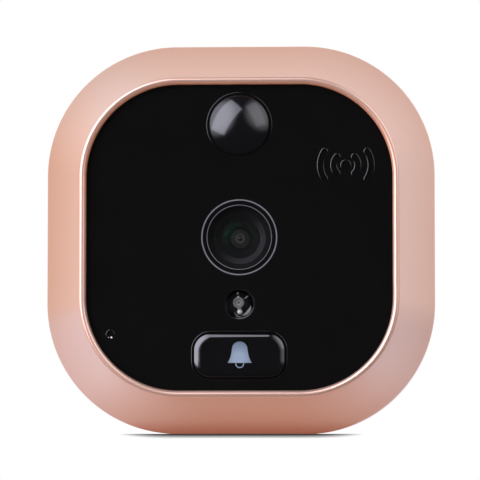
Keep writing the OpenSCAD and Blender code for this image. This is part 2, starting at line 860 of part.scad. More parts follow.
module button_cap() {
    cavity_top = button_face - button_top_t;
    post_rear = boot_floor + boot_t;
    color(gloss_black) difference() {
        union() {
            difference() {
                union() {
                    at(button_flange_rear) linear_extrude(button_flange_t)
                        button_outline(button_gap + button_flange);
                    button_block();
                }
                at(button_flange_rear - cut) linear_extrude(cavity_top - button_flange_rear + cut)
                    button_outline(-button_wall);
            }
            at_button(post_rear) cylinder(r = button_post_r, h = cavity_top - post_rear);
        }
        at_button(button_face - legend_depth) linear_extrude(legend_depth + cut) bell_sign();
    }
}

module bell_legend() {
    color([0.7, 0.76, 0.86]) at_button(button_face - legend_depth)
        linear_extrude(legend_depth) bell_sign();
}

// Rubber tray behind the button: its rim is bonded to the carrier, its floor carries the button's post
module button_boot() {
    shelf_grow = -boot_step;
    color([0.85, 0.85, 0.85]) {
        difference() {
            at(boot_shelf) linear_extrude(carrier_rear - boot_shelf) button_outline(boot_grow + boot_rim);
            at(boot_shelf + boot_t) linear_extrude(carrier_rear - boot_shelf) button_outline(boot_grow);
            at(boot_shelf - cut) linear_extrude(boot_t + 2 * cut) button_outline(shelf_grow);
        }
        difference() {
            at(boot_floor) linear_extrude(boot_shelf + boot_t - boot_floor)
                button_outline(shelf_grow + boot_t);
            at(boot_floor + boot_t) linear_extrude(boot_shelf - boot_floor + cut)
                button_outline(shelf_grow);
        }
        at_button(plunger_front) cylinder(r = boot_pad_r, h = boot_pad_t + boot_t / 2);
    }
}

module switch_body() {
    color(dull_black) difference() {
        at_button(pcb_front) linear_extrude(switch_top - switch_shell_t - pcb_front)
            square(switch_side, center = true);
        at_button(switch_floor) cylinder(r = plunger_bore_r, h = switch_top - switch_floor);
    }
}

module switch_shell() {
    color(steel) at_button(switch_top - switch_shell_t) difference() {
        linear_extrude(switch_shell_t) square(switch_side, center = true);
        translate([0, 0, -cut]) cylinder(r = plunger_bore_r, h = switch_shell_t + 2 * cut);
    }
}

module switch_plunger() {
    color([0.15, 0.15, 0.16]) at_button(plunger_rear)
        cylinder(r = plunger_r, h = plunger_front - plunger_rear);
}

// Snap disc under the plunger
module switch_dome() {
    rise = plunger_rear - switch_floor;
    disc_r = plunger_r;
    curve_r = (disc_r * disc_r + rise * rise) / (2 * rise);
    color(steel) at_button(switch_floor) intersection() {
        cylinder(r = disc_r, h = rise);
        translate([0, 0, rise - curve_r]) difference() {
            sphere(curve_r);
            sphere(curve_r - switch_dome_t);
        }
    }
}

module switch_terminals() {
    color(steel) for (sx = [-1, 1], sy = [-1, 1])
        at_button(pcb_front) translate([sx * (switch_side + terminal_w) / 2, sy * terminal_z, 0])
            linear_extrude(terminal_t) square([terminal_w, terminal_h], center = true);
}

module backlight_chips() {
    color([0.95, 0.93, 0.8]) for (sx = [-1, 1])
        at_button(pcb_front) translate([sx * (switch_side / 2 + backlight_x), 0, 0])
            linear_extrude(backlight_t) square([backlight_w, backlight_h], center = true);
}

// Speaker
module at_speaker(depth) {
    at(depth) translate([speaker_x, speaker_z, 0]) children();
}

module speaker_mesh() {
    color([0.12, 0.12, 0.12]) at_speaker(panel_rear - mesh_t) cylinder(r = mesh_r, h = mesh_t);
}

module speaker_gasket() {
    color([0.2, 0.2, 0.2]) at_speaker(speaker_front) difference() {
        cylinder(r = speaker_r, h = speaker_gasket_t);
        translate([0, 0, -cut]) cylinder(r = speaker_inner_r, h = speaker_gasket_t + 2 * cut);
    }
}

module speaker_basket() {
    color(steel) at_speaker(speaker_rear) difference() {
        cylinder(r = speaker_r, h = speaker_t);
        translate([0, 0, basket_floor]) cylinder(r = speaker_inner_r - basket_step, h = speaker_t);
        translate([0, 0, speaker_t - cone_level]) cylinder(r = speaker_inner_r, h = cone_level + cut);
    }
}

module speaker_cone() {
    rise = cone_dome_r - sqrt(pow(cone_dome_r, 2) - pow(cone_dome_edge, 2));
    color([0.16, 0.16, 0.18]) at_speaker(speaker_front - cone_level) {
        difference() {
            cylinder(r = speaker_inner_r - snug, h = cone_t);
            translate([0, 0, -cut]) cylinder(r = cone_dome_edge - cone_overlap, h = cone_t + 2 * cut);
        }
        intersection() {
            cylinder(r = cone_dome_edge, h = 2 * rise);
            translate([0, 0, rise - cone_dome_r]) difference() {
                sphere(cone_dome_r);
                sphere(cone_dome_r - cone_film_t);
            }
        }
    }
}

module speaker_magnet() {
    color([0.35, 0.35, 0.37]) at_speaker(speaker_rear + basket_floor) cylinder(r = magnet_r, h = magnet_t);
}

// Sprung contacts between the circuit board and the speaker
module speaker_contacts() {
    color([0.85, 0.7, 0.35]) at_speaker(pcb_front) for (side = [-1, 1])
        translate([side * contact_ring_r, 0, 0]) cylinder(r = contact_r, h = speaker_rear - pcb_front);
}

// Microphone in its rubber boot
module at_mic(depth) {
    at(depth) translate([mic_x, mic_z, 0]) children();
}

module mic_boot() {
    color([0.12, 0.12, 0.12]) difference() {
        at_mic(mic_rear) cylinder(r = mic_boot_r, h = panel_rear - mic_rear);
        at_mic(mic_rear - cut) cylinder(r = mic_r + snug, h = mic_t + cut);
        at_mic(mic_front - cut) cylinder(r = mic_hole_r, h = panel_rear - mic_front + 2 * cut);
    }
}

module mic_capsule() {
    color(steel) {
        at_mic(mic_rear) cylinder(r = mic_r, h = mic_t);
        for (sx = [-1, 1]) at_mic(pcb_front) translate([sx * mic_pin_x, 0, 0])
            cylinder(r = mic_pin_r, h = mic_rear - pcb_front + mic_pin_sink);
    }
}

// Circuit board
module main_board() {
    through = pcb_t + 2 * cut;
    color(board_green) difference() {
        at(pcb_rear) linear_extrude(pcb_t) body_outline(board_u);
        at(pcb_rear - cut) {
            at_pillars() cylinder(r = board_screw_r + board_hole_gap, h = through);
            at_holder_ears() cylinder(r = holder_screw_r + snug, h = through);
            translate([0, pir_z, 0]) at_pir_leads() cylinder(r = lead_hole_r, h = through);
            for (sz = [-1, 1]) translate([0, -led_z + sz * led_wire_z, 0])
                cylinder(r = lead_hole_r, h = through);
        }
    }
}

module board_screws() {
    color(steel) at(pcb_rear) at_pillars() pan_screw(board_screw_r, board_screw_len);
}

module processor_chip() {
    color([0.08, 0.08, 0.09]) at(pcb_rear - processor_t)
        translate([processor_share_x * opening_half, processor_share_z * opening_half, 0])
        linear_extrude(processor_t) square(processor_side, center = true);
}

module board_parts() {
    color([0.3, 0.25, 0.2]) for (part = board_part_sizes)
        at(pcb_rear - part[4]) translate([part[0] * opening_half, part[1] * opening_half, 0])
            linear_extrude(part[4]) square([part[2], part[3]], center = true);
}

// Socket for the ribbon cable that comes through the barrel
module ribbon_socket() {
    socket_z = socket_share * opening_half;
    color([0.9, 0.88, 0.8]) at(pcb_rear - socket_t) translate([0, -socket_z, 0]) difference() {
        linear_extrude(socket_t) square([socket_w, socket_h], center = true);
        translate([0, -socket_wall, socket_wall]) linear_extrude(ribbon_t)
            square([ribbon_w, socket_h], center = true);
    }
}

// Rear cover, its seal and its screws
module rear_cover() {
    seal_level = cover_rear + (cover_t - seal_groove_w) / 2;
    groove_depth = bezel_wall + 2 * seal_r - cover_u;
    color(dull_black) difference() {
        union() {
            at(cover_rear) linear_extrude(cover_t) body_outline(cover_u);
            at(cover_rear) cylinder(r = hub_r, h = hub_front - cover_rear);
        }
        at(cover_rear - cut) linear_extrude(gasket_recess + cut) body_outline(gasket_inset - fit);
        at(flange_rear - cut) cylinder(r = flange_r + fit, h = flange_t + cut);
        at(cover_rear) cylinder(r = cable_hole_r, h = hub_front);
        at(flange_front - cut) at_flange_screws()
            cylinder(r = flange_screw_r + snug, h = flange_screw_len - flange_t + cut + snug);
        at(cover_rear) at_corner_bosses() countersunk_hole(cover_screw_r, cover_t + cut);
        at(seal_level) round_the_body()
            translate([cover_u - cut, 0]) square([groove_depth + cut, seal_groove_w]);
    }
}

module cover_seal() {
    color([0.15, 0.15, 0.15]) at(cover_rear + cover_t / 2) round_the_body()
        translate([bezel_wall + seal_r, 0]) circle(seal_r - snug);
}

module cover_screws() {
    color(steel) at(cover_rear) at_corner_bosses() countersunk_screw(cover_screw_r, cover_screw_len);
}

// Hollow threaded barrel with its flange
function thread_points(turn) = let (start = -shank_len - turn * thread_pitch) [
    [thread_crest_r, start - thread_land],
    [thread_crest_r - thread_depth, start - thread_pitch / 2 + thread_land / 2],
    [thread_crest_r - thread_depth, start - thread_pitch / 2 - thread_land / 2],
    [thread_crest_r, start - thread_pitch + thread_land]];

module threaded_barrel() {
    barrel_end = -shank_len - thread_turns * thread_pitch - thread_depth;
    color(steel) difference() {
        at(0) rotate_extrude() polygon(concat(
            [[barrel_bore_r, flange_front], [flange_r, flange_front], [flange_r, flange_rear],
                [barrel_r, flange_rear], [barrel_r, -shank_len]],
            [for (turn = [0:thread_turns - 1]) each thread_points(turn)],
            [[thread_crest_r - thread_depth, barrel_end], [barrel_bore_r, barrel_end]]));
        at(flange_rear) at_flange_screws() countersunk_hole(flange_screw_r, flange_t + cut);
    }
}

module flange_screws() {
    color(steel) at(flange_rear) at_flange_screws() countersunk_screw(flange_screw_r, flange_screw_len);
}

module door_gasket() {
    color([0.18, 0.18, 0.18]) at(0) linear_extrude(gasket_t) difference() {
        body_outline(gasket_inset);
        circle(gasket_hole_r);
    }
}

bezel_frame();
panel_tape();
front_panel();
inner_carrier();
lens_window();
lens_barrel();
front_glass();
lens_baffle();
rear_glass();
lens_holder();
holder_screws();
infrared_filter();
image_sensor();
pir_dome();
pir_can();
pir_filter();
led_body();
led_leads();
button_cap();
bell_legend();
button_boot();
switch_body();
switch_shell();
switch_plunger();
switch_dome();
switch_terminals();
backlight_chips();
speaker_mesh();
speaker_gasket();
speaker_basket();
speaker_cone();
speaker_magnet();
speaker_contacts();
mic_boot();
mic_capsule();
main_board();
board_screws();
processor_chip();
board_parts();
ribbon_socket();
rear_cover();
cover_seal();
cover_screws();
threaded_barrel();
flange_screws();
door_gasket();
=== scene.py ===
import functools
import json
import math
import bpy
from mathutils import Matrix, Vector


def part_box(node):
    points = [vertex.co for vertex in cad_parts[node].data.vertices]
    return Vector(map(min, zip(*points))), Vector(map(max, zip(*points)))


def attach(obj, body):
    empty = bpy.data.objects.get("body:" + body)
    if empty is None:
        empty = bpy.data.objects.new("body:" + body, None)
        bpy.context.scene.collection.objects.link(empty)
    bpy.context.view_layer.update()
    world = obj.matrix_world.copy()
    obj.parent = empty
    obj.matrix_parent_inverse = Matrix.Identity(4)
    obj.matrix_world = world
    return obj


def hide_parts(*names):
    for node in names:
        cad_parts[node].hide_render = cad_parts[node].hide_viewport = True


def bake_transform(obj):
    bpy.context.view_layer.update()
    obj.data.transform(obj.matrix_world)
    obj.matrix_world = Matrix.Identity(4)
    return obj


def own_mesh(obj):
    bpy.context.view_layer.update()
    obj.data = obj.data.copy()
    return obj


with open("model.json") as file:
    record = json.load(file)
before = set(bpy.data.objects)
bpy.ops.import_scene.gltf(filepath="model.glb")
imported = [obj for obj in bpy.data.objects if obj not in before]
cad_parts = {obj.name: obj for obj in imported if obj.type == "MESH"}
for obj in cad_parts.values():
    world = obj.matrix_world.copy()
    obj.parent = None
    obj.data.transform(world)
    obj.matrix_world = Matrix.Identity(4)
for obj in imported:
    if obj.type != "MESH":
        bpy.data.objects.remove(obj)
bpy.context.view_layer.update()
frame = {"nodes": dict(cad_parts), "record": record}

from types import SimpleNamespace

import bmesh
import bpy
import numpy as np
from mathutils import Quaternion, Vector

# Outdoor unit of a peephole door camera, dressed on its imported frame.
# Sizes are millimetres. A depth is a distance in front of the door face, so y is minus the depth.
nodes = frame["nodes"]
slotOf = {part["node"]: part["material_slot"] for part in frame["record"]["subparts"]}
metre = 0.001
weldGap = 0.0002


def named(values):
    # The values of a dictionary, each by its name
    return SimpleNamespace(**values)


def place(node):
    # Middle, size and depths of a CAD node, from its box
    low, high = (np.array(corner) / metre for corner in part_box(node))
    return {"x": (low[0] + high[0]) / 2, "z": (low[2] + high[2]) / 2, "w": high[0] - low[0],
            "h": high[2] - low[2], "rear": -high[1], "front": -low[1]}


# Shapes

def heading(angle):
    # Unit directions at angles in radians
    return np.stack([np.cos(angle), np.sin(angle)], -1)


def spread(x, depth, z):
    # Points from how far across, in front of the door face and up they are
    return np.stack(np.broadcast_arrays(x, np.negative(depth), z), -1)


def arc(x, y, radius, start, end, count):
    # Points on a circle from one angle to another, in degrees
    return [x, y] + radius * heading(np.radians(np.linspace(start, end, count)))


def turned(profile, x=0.0, z=0.0, count=96):
    # A profile of (radius, depth) points turned once about the front-to-back line through (x, z)
    profile = np.asarray(profile, float)
    turn = np.linspace(0, 2 * np.pi, count, endpoint=False)[:, None]
    radius, depth = profile.T
    return spread(x + radius * np.cos(turn), depth, z + radius * np.sin(turn))


def roundedOutline(w, h, r, perCorner=32):
    # Four quarter circles one after another, with the outward direction at each point
    quarter = np.repeat(np.arange(4), perCorner)
    angle = (quarter + np.tile(np.linspace(0, 1, perCorner), 4)) * np.pi / 2
    corner = np.array([[1, 1], [-1, 1], [-1, -1], [1, -1]])[quarter]
    outward = heading(angle)
    return corner * [w / 2 - r, h / 2 - r] + r * outward, outward


def slotOutline(middleR, halfAngle, width, flip, perArc=40):
    # Outline of a curved slot: outer arc, round end, inner arc, round end, each with its outward direction
    half = np.radians(halfAngle)
    sweep = np.linspace(-half, half, perArc)
    bow = np.linspace(0, np.pi, perArc // 2)[1:-1]
    angle = np.concatenate([sweep, half + bow, sweep[::-1] + np.pi, np.pi - half + bow])
    centreAngle = np.concatenate([sweep, np.full(len(bow), half), sweep[::-1], np.full(len(bow), -half)])
    outward = heading(angle + flip)
    return middleR * heading(centreAngle + flip) + width / 2 * outward, outward


def swept(section, outline, x=0.0, z=0.0):
    # A section of (inset, depth) points carried once round an outline
    path, outward = outline
    section = np.asarray(section, float)
    flat = path[:, None, :] - outward[:, None, :] * section[None, :, 0, None]
    return spread(x + flat[..., 0], section[:, 1], z + flat[..., 1])


def sheet(points, along=True, across=False):
    # A grid of points as a surface that closes on itself along or across
    return {"points": np.asarray(points, float), "along": along, "across": across}


def lid(points):
    # One flat face on a ring of points
    return {"points": np.asarray(points, float), "ring": True}


def quads(surface):
    # Corner numbers of a grid's faces, row by row
    rows, columns = surface["points"].shape[:2]
    number = np.arange(rows * columns).reshape(rows, columns)
    if surface["along"]:
        number = np.vstack([number, number[:1]])
    if surface["across"]:
        number = np.hstack([number, number[:, :1]])
    corners = [number[:-1, :-1], number[1:, :-1], number[1:, 1:], number[:-1, 1:]]
    return np.stack(corners, -1).reshape(-1, 4)


def addPiece(name, surfaces, slot, finish=None, body="unit", stands=(), marks=None, crease=32):
    # Joins the surfaces into one mesh, closes seams and poles, and lets it ride on its body. It has the
    # finish of its slot unless another is given
    verts, faces, offset = [], [], 0
    for surface in surfaces:
        flat = surface["points"].reshape(-1, 3)
        if "ring" in surface:
            faces.append((np.arange(len(flat)) + offset).tolist())
        else:
            faces.extend((quads(surface) + offset).tolist())
        verts.append(flat)
        offset += len(flat)
    mesh = bpy.data.meshes.new(name)
    mesh.from_pydata(np.concatenate(verts) * metre, [], faces)
    for label, values in (marks or {}).items():
        layer = mesh.attributes.new(label, "FLOAT", "POINT")
        layer.data.foreach_set("value", np.asarray(values, np.float32).ravel())
    work = bmesh.new()
    work.from_mesh(mesh)
    bmesh.ops.remove_doubles(work, verts=work.verts, dist=weldGap * metre)
    bmesh.ops.recalc_face_normals(work, faces=work.faces)
    work.to_mesh(mesh)
    work.free()
    mesh.polygons.foreach_set("use_smooth", np.ones(len(mesh.polygons), bool))
    mesh.set_sharp_from_angle(angle=math.radians(crease))
    mesh.materials.append(finish or finishes[slot])
    piece = bpy.data.objects.new(name, mesh)
    bpy.context.scene.collection.objects.link(piece)
    if body:
        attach(piece, body)
    if stands:
        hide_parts(*stands)
    return piece


# Materials

def linear(hexColour):
    # sRGB hex to linear light
    part = np.array([int(hexColour[i:i + 2], 16) for i in (1, 3, 5)]) / 255
    part = np.where(part <= 0.04045, part / 12.92, ((part + 0.055) / 1.055) ** 2.4)
    return (*part.tolist(), 1.0)


def result(node):
    # The first output that a node has with its settings
    return next(output for output in node.outputs if output.enabled)


def addNode(tree, kind, inputs=None, **settings):
    # A shader node with its settings, and its inputs as numbers, hex colours, sockets or other nodes
    node = tree.nodes.new("ShaderNode" + kind)
    for key, value in settings.items():
        setattr(node, key, value)
    for key, value in (inputs or {}).items():
        if isinstance(value, bpy.types.Node):
            value = result(value)
        if isinstance(value, str):
            value = linear(value)
        if isinstance(value, bpy.types.NodeSocket):
            tree.links.new(value, node.inputs[key])
        else:
            node.inputs[key].default_value = value
    return node


def startTree(owner):
    # Empties the node tree of a material or world, and gives the function that adds nodes to it
    owner.use_nodes = True
    owner.node_tree.nodes.clear()
    return functools.partial(addNode, owner.node_tree)


def startMaterial(name, constants):
    # A material whose shader has these constants, and the piece's own coordinates
    material = bpy.data.materials.new(name)
    add = startTree(material)
    shader = add("BsdfPrincipled", constants)
    add("OutputMaterial", {"Surface": shader})
    return material, add, shader, add("TexCoord").outputs["Object"]


def feed(shader, links):
    # Links nodes into the shader's sockets
    for socket, node in links.items():
        shader.id_data.links.new(result(node), shader.inputs[socket])


def perMm(size):
    # Texture scale that gives features of this size in millimetres
    return 1 / (size * metre)


def grainFinish(name, light, dark, rough, grainMm, bumpMm, cloudMm, **constants):
    # Moulded or sintered stuff: two close shades in clouds, fine grain in the height and the gloss
    material, add, shader, coords = startMaterial(name, constants)
    cloud = add("TexNoise", {"Vector": coords, "Scale": perMm(cloudMm), "Detail": 3.0})
    shade = add("Mix", {0: cloud, 6: dark, 7: light}, data_type="RGBA")
    grain = add("TexNoise", {"Vector": coords, "Scale": perMm(grainMm), "Detail": 2.0})
    gloss = add("MapRange", {"Value": grain, 3: rough[0], 4: rough[1]})
    bump = add("Bump", {"Strength": 1.0, "Distance": bumpMm * metre, "Height": grain})
    feed(shader, {"Base Color": shade, "Roughness": gloss, "Normal": bump})
    return material


# Colours of the slope outside and inside, of the bead and of its copper side, whose copper is painted
# shade. Metal and seal are shares on the slope, on the bead and on its copper side
rose = {"deep": "#d0a08a", "pale": "#e2b7a5", "bead": "#e7bba5", "copper": "#ee9d74", "cloudMm": 18,
        "cloudShare": 0.16, "pitMm": 0.25, "pitDepth": 0.004, "pitShare": 0.12, "rough": (0.32, 0.42),
        "beadRough": 0.34, "metal": (0.85, 0.66, 0.2), "seal": (0.35, 0.5, 0.1)}


def roseGold(r):
    # Aluminium, bead blasted and dyed rose gold, with its edge turned brighter: soft broad reflections on
    # the slope, deeper in colour towards the outside, and a bright line where the edge catches a lamp
    constants = {"Coat Roughness": 0.18, "Coat IOR": 1.9}
    material, add, shader, coords = startMaterial("roseGoldAnodised", constants)
    inset, bead, copper = (add("Attribute", attribute_name=label).outputs["Fac"]
                           for label in ("inset", "polish", "flank"))
    cloud = add("TexNoise", {"Vector": coords, "Scale": perMm(r.cloudMm), "Detail": 2.0})
    rise = add("Math", {0: cloud, 1: r.cloudShare, 2: inset}, operation="MULTIPLY_ADD")
    # Painted shade: the side of the bead that faces down is painted a deeper copper, with less metal and
    # seal
    shade = r.deep
    for share, colour in ((rise, r.pale), (bead, r.bead), (copper, r.copper)):
        shade = add("Mix", {0: share, 6: shade, 7: colour}, data_type="RGBA")
    # Blasting leaves pits of about 0.1 mm, drawn at 0.25 mm to show
    pits = add("TexNoise", {"Vector": coords, "Scale": perMm(r.pitMm), "Detail": 2.0})
    satin = add("MapRange", {"Value": pits, 3: r.rough[0], 4: r.rough[1]})
    gloss = add("Mix", {0: bead, 2: satin, 3: r.beadRough})
    relief = add("MapRange", {"Value": bead, 3: r.pitShare, 4: 0.0})
    bump = add("Bump", {"Strength": relief, "Distance": r.pitDepth * metre, "Height": pits})
    links = {"Base Color": shade, "Roughness": gloss, "Normal": bump}
    # The dyed layer is thicker and cloudier on the bead, so less of the bare metal shows there
    for socket, (onSlope, onBead, onShadeCopper) in (("Metallic", r.metal), ("Coat Weight", r.seal)):
        share = add("MapRange", {"Value": bead, 3: onSlope, 4: onBead})
        links[socket] = add("Mix", {0: copper, 2: share, 3: onShadeCopper})
    feed(shader, links)
    return material


acrylic = {"hazeMm": 7, "waveMm": 4, "waveDepth": 0.004, "waveShare": 0.15}


def pianoBlack(name, colour, rough, **constants):
    # Black acrylic off a polished mould: deep black, sharp reflections, the faintest waves and wiping haze
    material, add, shader, coords = startMaterial(name, constants)
    haze = add("TexNoise", {"Vector": coords, "Scale": perMm(acrylic["hazeMm"]), "Detail": 4.0})
    gloss = add("MapRange", {"Value": haze, 3: rough[0], 4: rough[1]})
    shade = add("Mix", {0: haze, 6: colour[0], 7: colour[1]}, data_type="RGBA")
    wave = add("TexNoise", {"Vector": coords, "Scale": perMm(acrylic["waveMm"]), "Detail": 0.0})
    bump = add("Bump", {"Strength": acrylic["waveShare"], "Distance": acrylic["waveDepth"] * metre,
                        "Height": wave})
    feed(shader, {"Base Color": shade, "Roughness": gloss, "Normal": bump})
    return material


# Painted light: the lighter grey, the way it comes from and the span over which it comes in paint the lit
# lower right of the barrel
lathe = {"bare": "#151517", "dusty": "#363537", "dustWay": (0.75, 0.0, -0.66), "dustFrom": -1.5,
         "dustTo": 3.0, "ringMm": 0.12, "rough": (0.36, 0.48), "ringDepth": 0.006, "ringShare": 0.25}


def turnedBlack(t):
    # Black anodised aluminium off the lathe: dull black with fine rings round the lens axis, and painted
    # lighter grey on its lower right, the side that faces up towards the lamp, as a painted highlight
    material, add, shader, coords = startMaterial("turnedBlackAnodised", {"IOR": 1.3})
    # Painted highlight: lighter grey towards the lower right
    side = add("VectorMath", {0: coords, 1: t.dustWay}, operation="DOT_PRODUCT")
    paintedLightShare = add("MapRange", {"Value": side, 1: t.dustFrom * metre, 2: t.dustTo * metre},
               interpolation_type="SMOOTHSTEP")
    shade = add("Mix", {0: paintedLightShare, 6: t.bare, 7: t.dusty}, data_type="RGBA")
    flat = add("VectorMath", {0: coords, 1: (1.0, 0.0, 1.0)}, operation="MULTIPLY")
    reach = add("VectorMath", {0: flat}, operation="LENGTH")
    # Tool marks of 0.05 mm, drawn at 0.12 mm to show
    rings = add("Math", {0: reach, 1: 2 * math.pi * perMm(t.ringMm)}, operation="MULTIPLY")
    ridge = add("Math", {0: rings}, operation="SINE")
    gloss = add("MapRange", {"Value": ridge, 1: -1.0, 3: t.rough[0], 4: t.rough[1]})
    bump = add("Bump", {"Strength": t.ringShare, "Distance": t.ringDepth * metre, "Height": ridge})
    feed(shader, {"Base Color": shade, "Roughness": gloss, "Normal": bump})
    return material


def clearStuff(name, tint, ior, rough, smearMm, alpha, **constants):
    # Clear moulding or ground glass: mostly see-through, dark against black, with faint smears in the gloss
    constants.update({"Base Color": tint, "IOR": ior, "Alpha": alpha})
    material, add, shader, coords = startMaterial(name, constants)
    smear = add("TexNoise", {"Vector": coords, "Scale": perMm(smearMm), "Detail": 3.0})
    gloss = add("MapRange", {"Value": smear, 3: rough[0], 4: rough[1]})
    feed(shader, {"Roughness": gloss})
    return material


strokes = {"stretch": 0.08, "depth": 0.004, "share": 0.3}


def brushedMetal(name, light, dark, rough, strokeMm):
    # Plated or drawn metal: bright, with fine strokes along the depth
    material, add, shader, coords = startMaterial(name, {"Metallic": 1.0})
    drawn = add("Mapping", {"Vector": coords, "Scale": (1.0, strokes["stretch"], 1.0)})
    stroke = add("TexNoise", {"Vector": drawn, "Scale": perMm(strokeMm), "Detail": 3.0})
    shade = add("Mix", {0: stroke, 6: dark, 7: light}, data_type="RGBA")
    gloss = add("MapRange", {"Value": stroke, 3: rough[0], 4: rough[1]})
    bump = add("Bump", {"Strength": strokes["share"], "Distance": strokes["depth"] * metre,
                        "Height": stroke})
    feed(shader, {"Base Color": shade, "Roughness": gloss, "Normal": bump})
    return material


inlay = {"middle": "#8c99a8", "rim": "#5b6775", "lift": 0.5, "fadeFrom": 0.8, "fadeTo": 3.0,
         "speckMm": 0.3, "speckShare": 0.1}


def signInk(i):
    # Pale blue translucent inlay: a little bluer and lighter in its middle
    material, add, shader, coords = startMaterial("paleInlay", {"IOR": 1.5, "Roughness": 0.35})
    cap = place("button_cap")
    middle = (-cap["x"] * metre, 0.0, (i.lift - cap["z"]) * metre)
    centred = add("Mapping", {"Vector": coords, "Location": middle})
    flat = add("VectorMath", {0: centred, 1: (1.0, 0.0, 1.0)}, operation="MULTIPLY")
    reach = add("VectorMath", {0: flat}, operation="LENGTH")
    fade = add("MapRange", {"Value": reach, 1: i.fadeFrom * metre, 2: i.fadeTo * metre})
    speck = add("TexNoise", {"Vector": coords, "Scale": perMm(i.speckMm), "Detail": 2.0})
    blend = add("Math", {0: speck, 1: i.speckShare, 2: fade}, operation="MULTIPLY_ADD")
    shade = add("Mix", {0: blend, 6: i.middle, 7: i.rim}, data_type="RGBA")
    feed(shader, {"Base Color": shade})
    return material


foamLook = {"deep": "#1b1b1d", "skin": "#3a3a3d", "cellMm": 0.45, "cellDepth": 0.08, "cellShare": 0.8}


def openFoam(f):
    # Closed-cell foam: matt charcoal with small round cells
    material, add, shader, coords = startMaterial("foamPad", {"Roughness": 0.95, "IOR": 1.4})
    cells = add("TexVoronoi", {"Vector": coords, "Scale": perMm(f.cellMm)})
    shade = add("Mix", {0: cells, 6: f.deep, 7: f.skin}, data_type="RGBA")
    bump = add("Bump", {"Strength": f.cellShare, "Distance": f.cellDepth * metre, "Height": cells})
    feed(shader, {"Base Color": shade, "Normal": bump})
    return material


weave = {"under": "#2a2a2a", "over": "#434344", "periodMm": 0.4, "depth": 0.06, "share": 0.8}


def wovenMesh(w):
    # Acoustic cloth: black threads over and under, half a period apart
    material, add, shader, coords = startMaterial("acousticCloth", {"Roughness": 0.8, "IOR": 1.5})
    pace = (2 * math.pi * perMm(w.periodMm),) * 3
    threads = add("VectorMath", {0: coords, 1: pace}, operation="MULTIPLY")
    waves = add("VectorMath", {0: threads}, operation="SINE")
    split = add("SeparateXYZ", {0: waves}).outputs
    cross = add("Math", {0: split["X"], 1: split["Z"]}, operation="MULTIPLY")
    level = add("MapRange", {"Value": cross, 1: -1.0})
    shade = add("Mix", {0: level, 6: w.under, 7: w.over}, data_type="RGBA")
    bump = add("Bump", {"Strength": w.share, "Distance": w.depth * metre, "Height": level})
    feed(shader, {"Base Color": shade, "Normal": bump})
    return material


# One finish for each material slot of the record
finishes = {
    "bezel_metal": roseGold(named(rose)),
    "panel_gloss": pianoBlack("pianoBlackAcrylic", ("#0b0a0a", "#0f0e0d"), (0.02, 0.05), IOR=1.49),
    "dome_gloss": pianoBlack("hardCoatedDome", ("#0c0c0d", "#111112"), (0.11, 0.14), IOR=1.585,
                             **{"Coat Weight": 0.4, "Coat Roughness": 0.1, "Coat IOR": 1.5}),
    "button_gloss": pianoBlack("pianoBlackButton", ("#090909", "#0e0e0f"), (0.05, 0.08), IOR=1.53,
                               **{"Coat Weight": 1.0, "Coat Roughness": 0.05, "Coat IOR": 1.5}),
    "legend_pale": signInk(named(inlay)),
    "lens_black": turnedBlack(named(lathe)),
    "window_clear": clearStuff("clearAcrylicWindow", "#242421", 1.49, (0.02, 0.04), 5, 0.1),
    "lens_glass": clearStuff("coatedLensGlass", "#050706", 1.52, (0.08, 0.12), 3, 0.12,
                             **{"Specular Tint": "#3fd89a"}),
    "filter_glass": clearStuff("blueFilterGlass", "#1d3a44", 1.52, (0.02, 0.06), 2, 0.6),
    "clear_epoxy": clearStuff("castClearEpoxy", "#343538", 1.54, (0.05, 0.09), 2, 0.14,
                              **{"Specular IOR Level": 0.25}),
    "steel": brushedMetal("nickelPlatedSteel", "#d4d3d0", "#bdbcba", (0.22, 0.34), 0.2),
    "barrel_metal": brushedMetal("nickelPlatedBrass", "#cfccc4", "#b3afa6", (0.2, 0.32), 0.25),
    "contact_gold": brushedMetal("goldFlash", "#f0c66a", "#d9a94c", (0.2, 0.3), 0.15),
    "magnet": brushedMetal("nickelPlatedMagnet", "#a9a9ab", "#8f8f92", (0.2, 0.35), 0.4),
    "foam": openFoam(named(foamLook)),
    "mesh_cloth": wovenMesh(named(weave)),
}
# Moulded stuff: name, light and dark shade, roughness, then grain, bump and cloud in millimetres, and IOR
moulded = {
    "black_plastic": ("blackAbs", "#1d1d1f", "#161617", (0.42, 0.58), 0.22, 0.02, 6, 1.53),
    "silicone": ("milkySilicone", "#d9d9d6", "#c9c9c6", (0.5, 0.6), 0.4, 0.01, 4, 1.41),
    "black_rubber": ("blackEpdmRubber", "#1c1c1c", "#141414", (0.65, 0.8), 0.3, 0.02, 4, 1.5),
    "tape": ("acrylicFoamTape", "#3a3a3b", "#2e2e2f", (0.7, 0.85), 0.3, 0.02, 3, 1.48),
    "circuit_board": ("solderMaskGreen", "#1c5a38", "#154a2d", (0.3, 0.4), 0.5, 0.01, 2.5, 1.55),
    "chip_black": ("chipMouldingBlack", "#1b1b1c", "#131314", (0.55, 0.65), 0.15, 0.01, 1.5, 1.55),
    "socket_plastic": ("ivoryNylon", "#e4dfcd", "#d8d2be", (0.4, 0.5), 0.2, 0.01, 2, 1.53),
    "chip_white": ("whiteLampResin", "#efe8cf", "#e0d8b8", (0.35, 0.45), 0.2, 0.01, 1, 1.53),
    "cone_film": ("blackPolymerFilm", "#232326", "#19191b", (0.3, 0.45), 0.3, 0.01, 2, 1.58),
}
for slot, (*look, ior) in moulded.items():
    finishes[slot] = grainFinish(*look, IOR=ior)
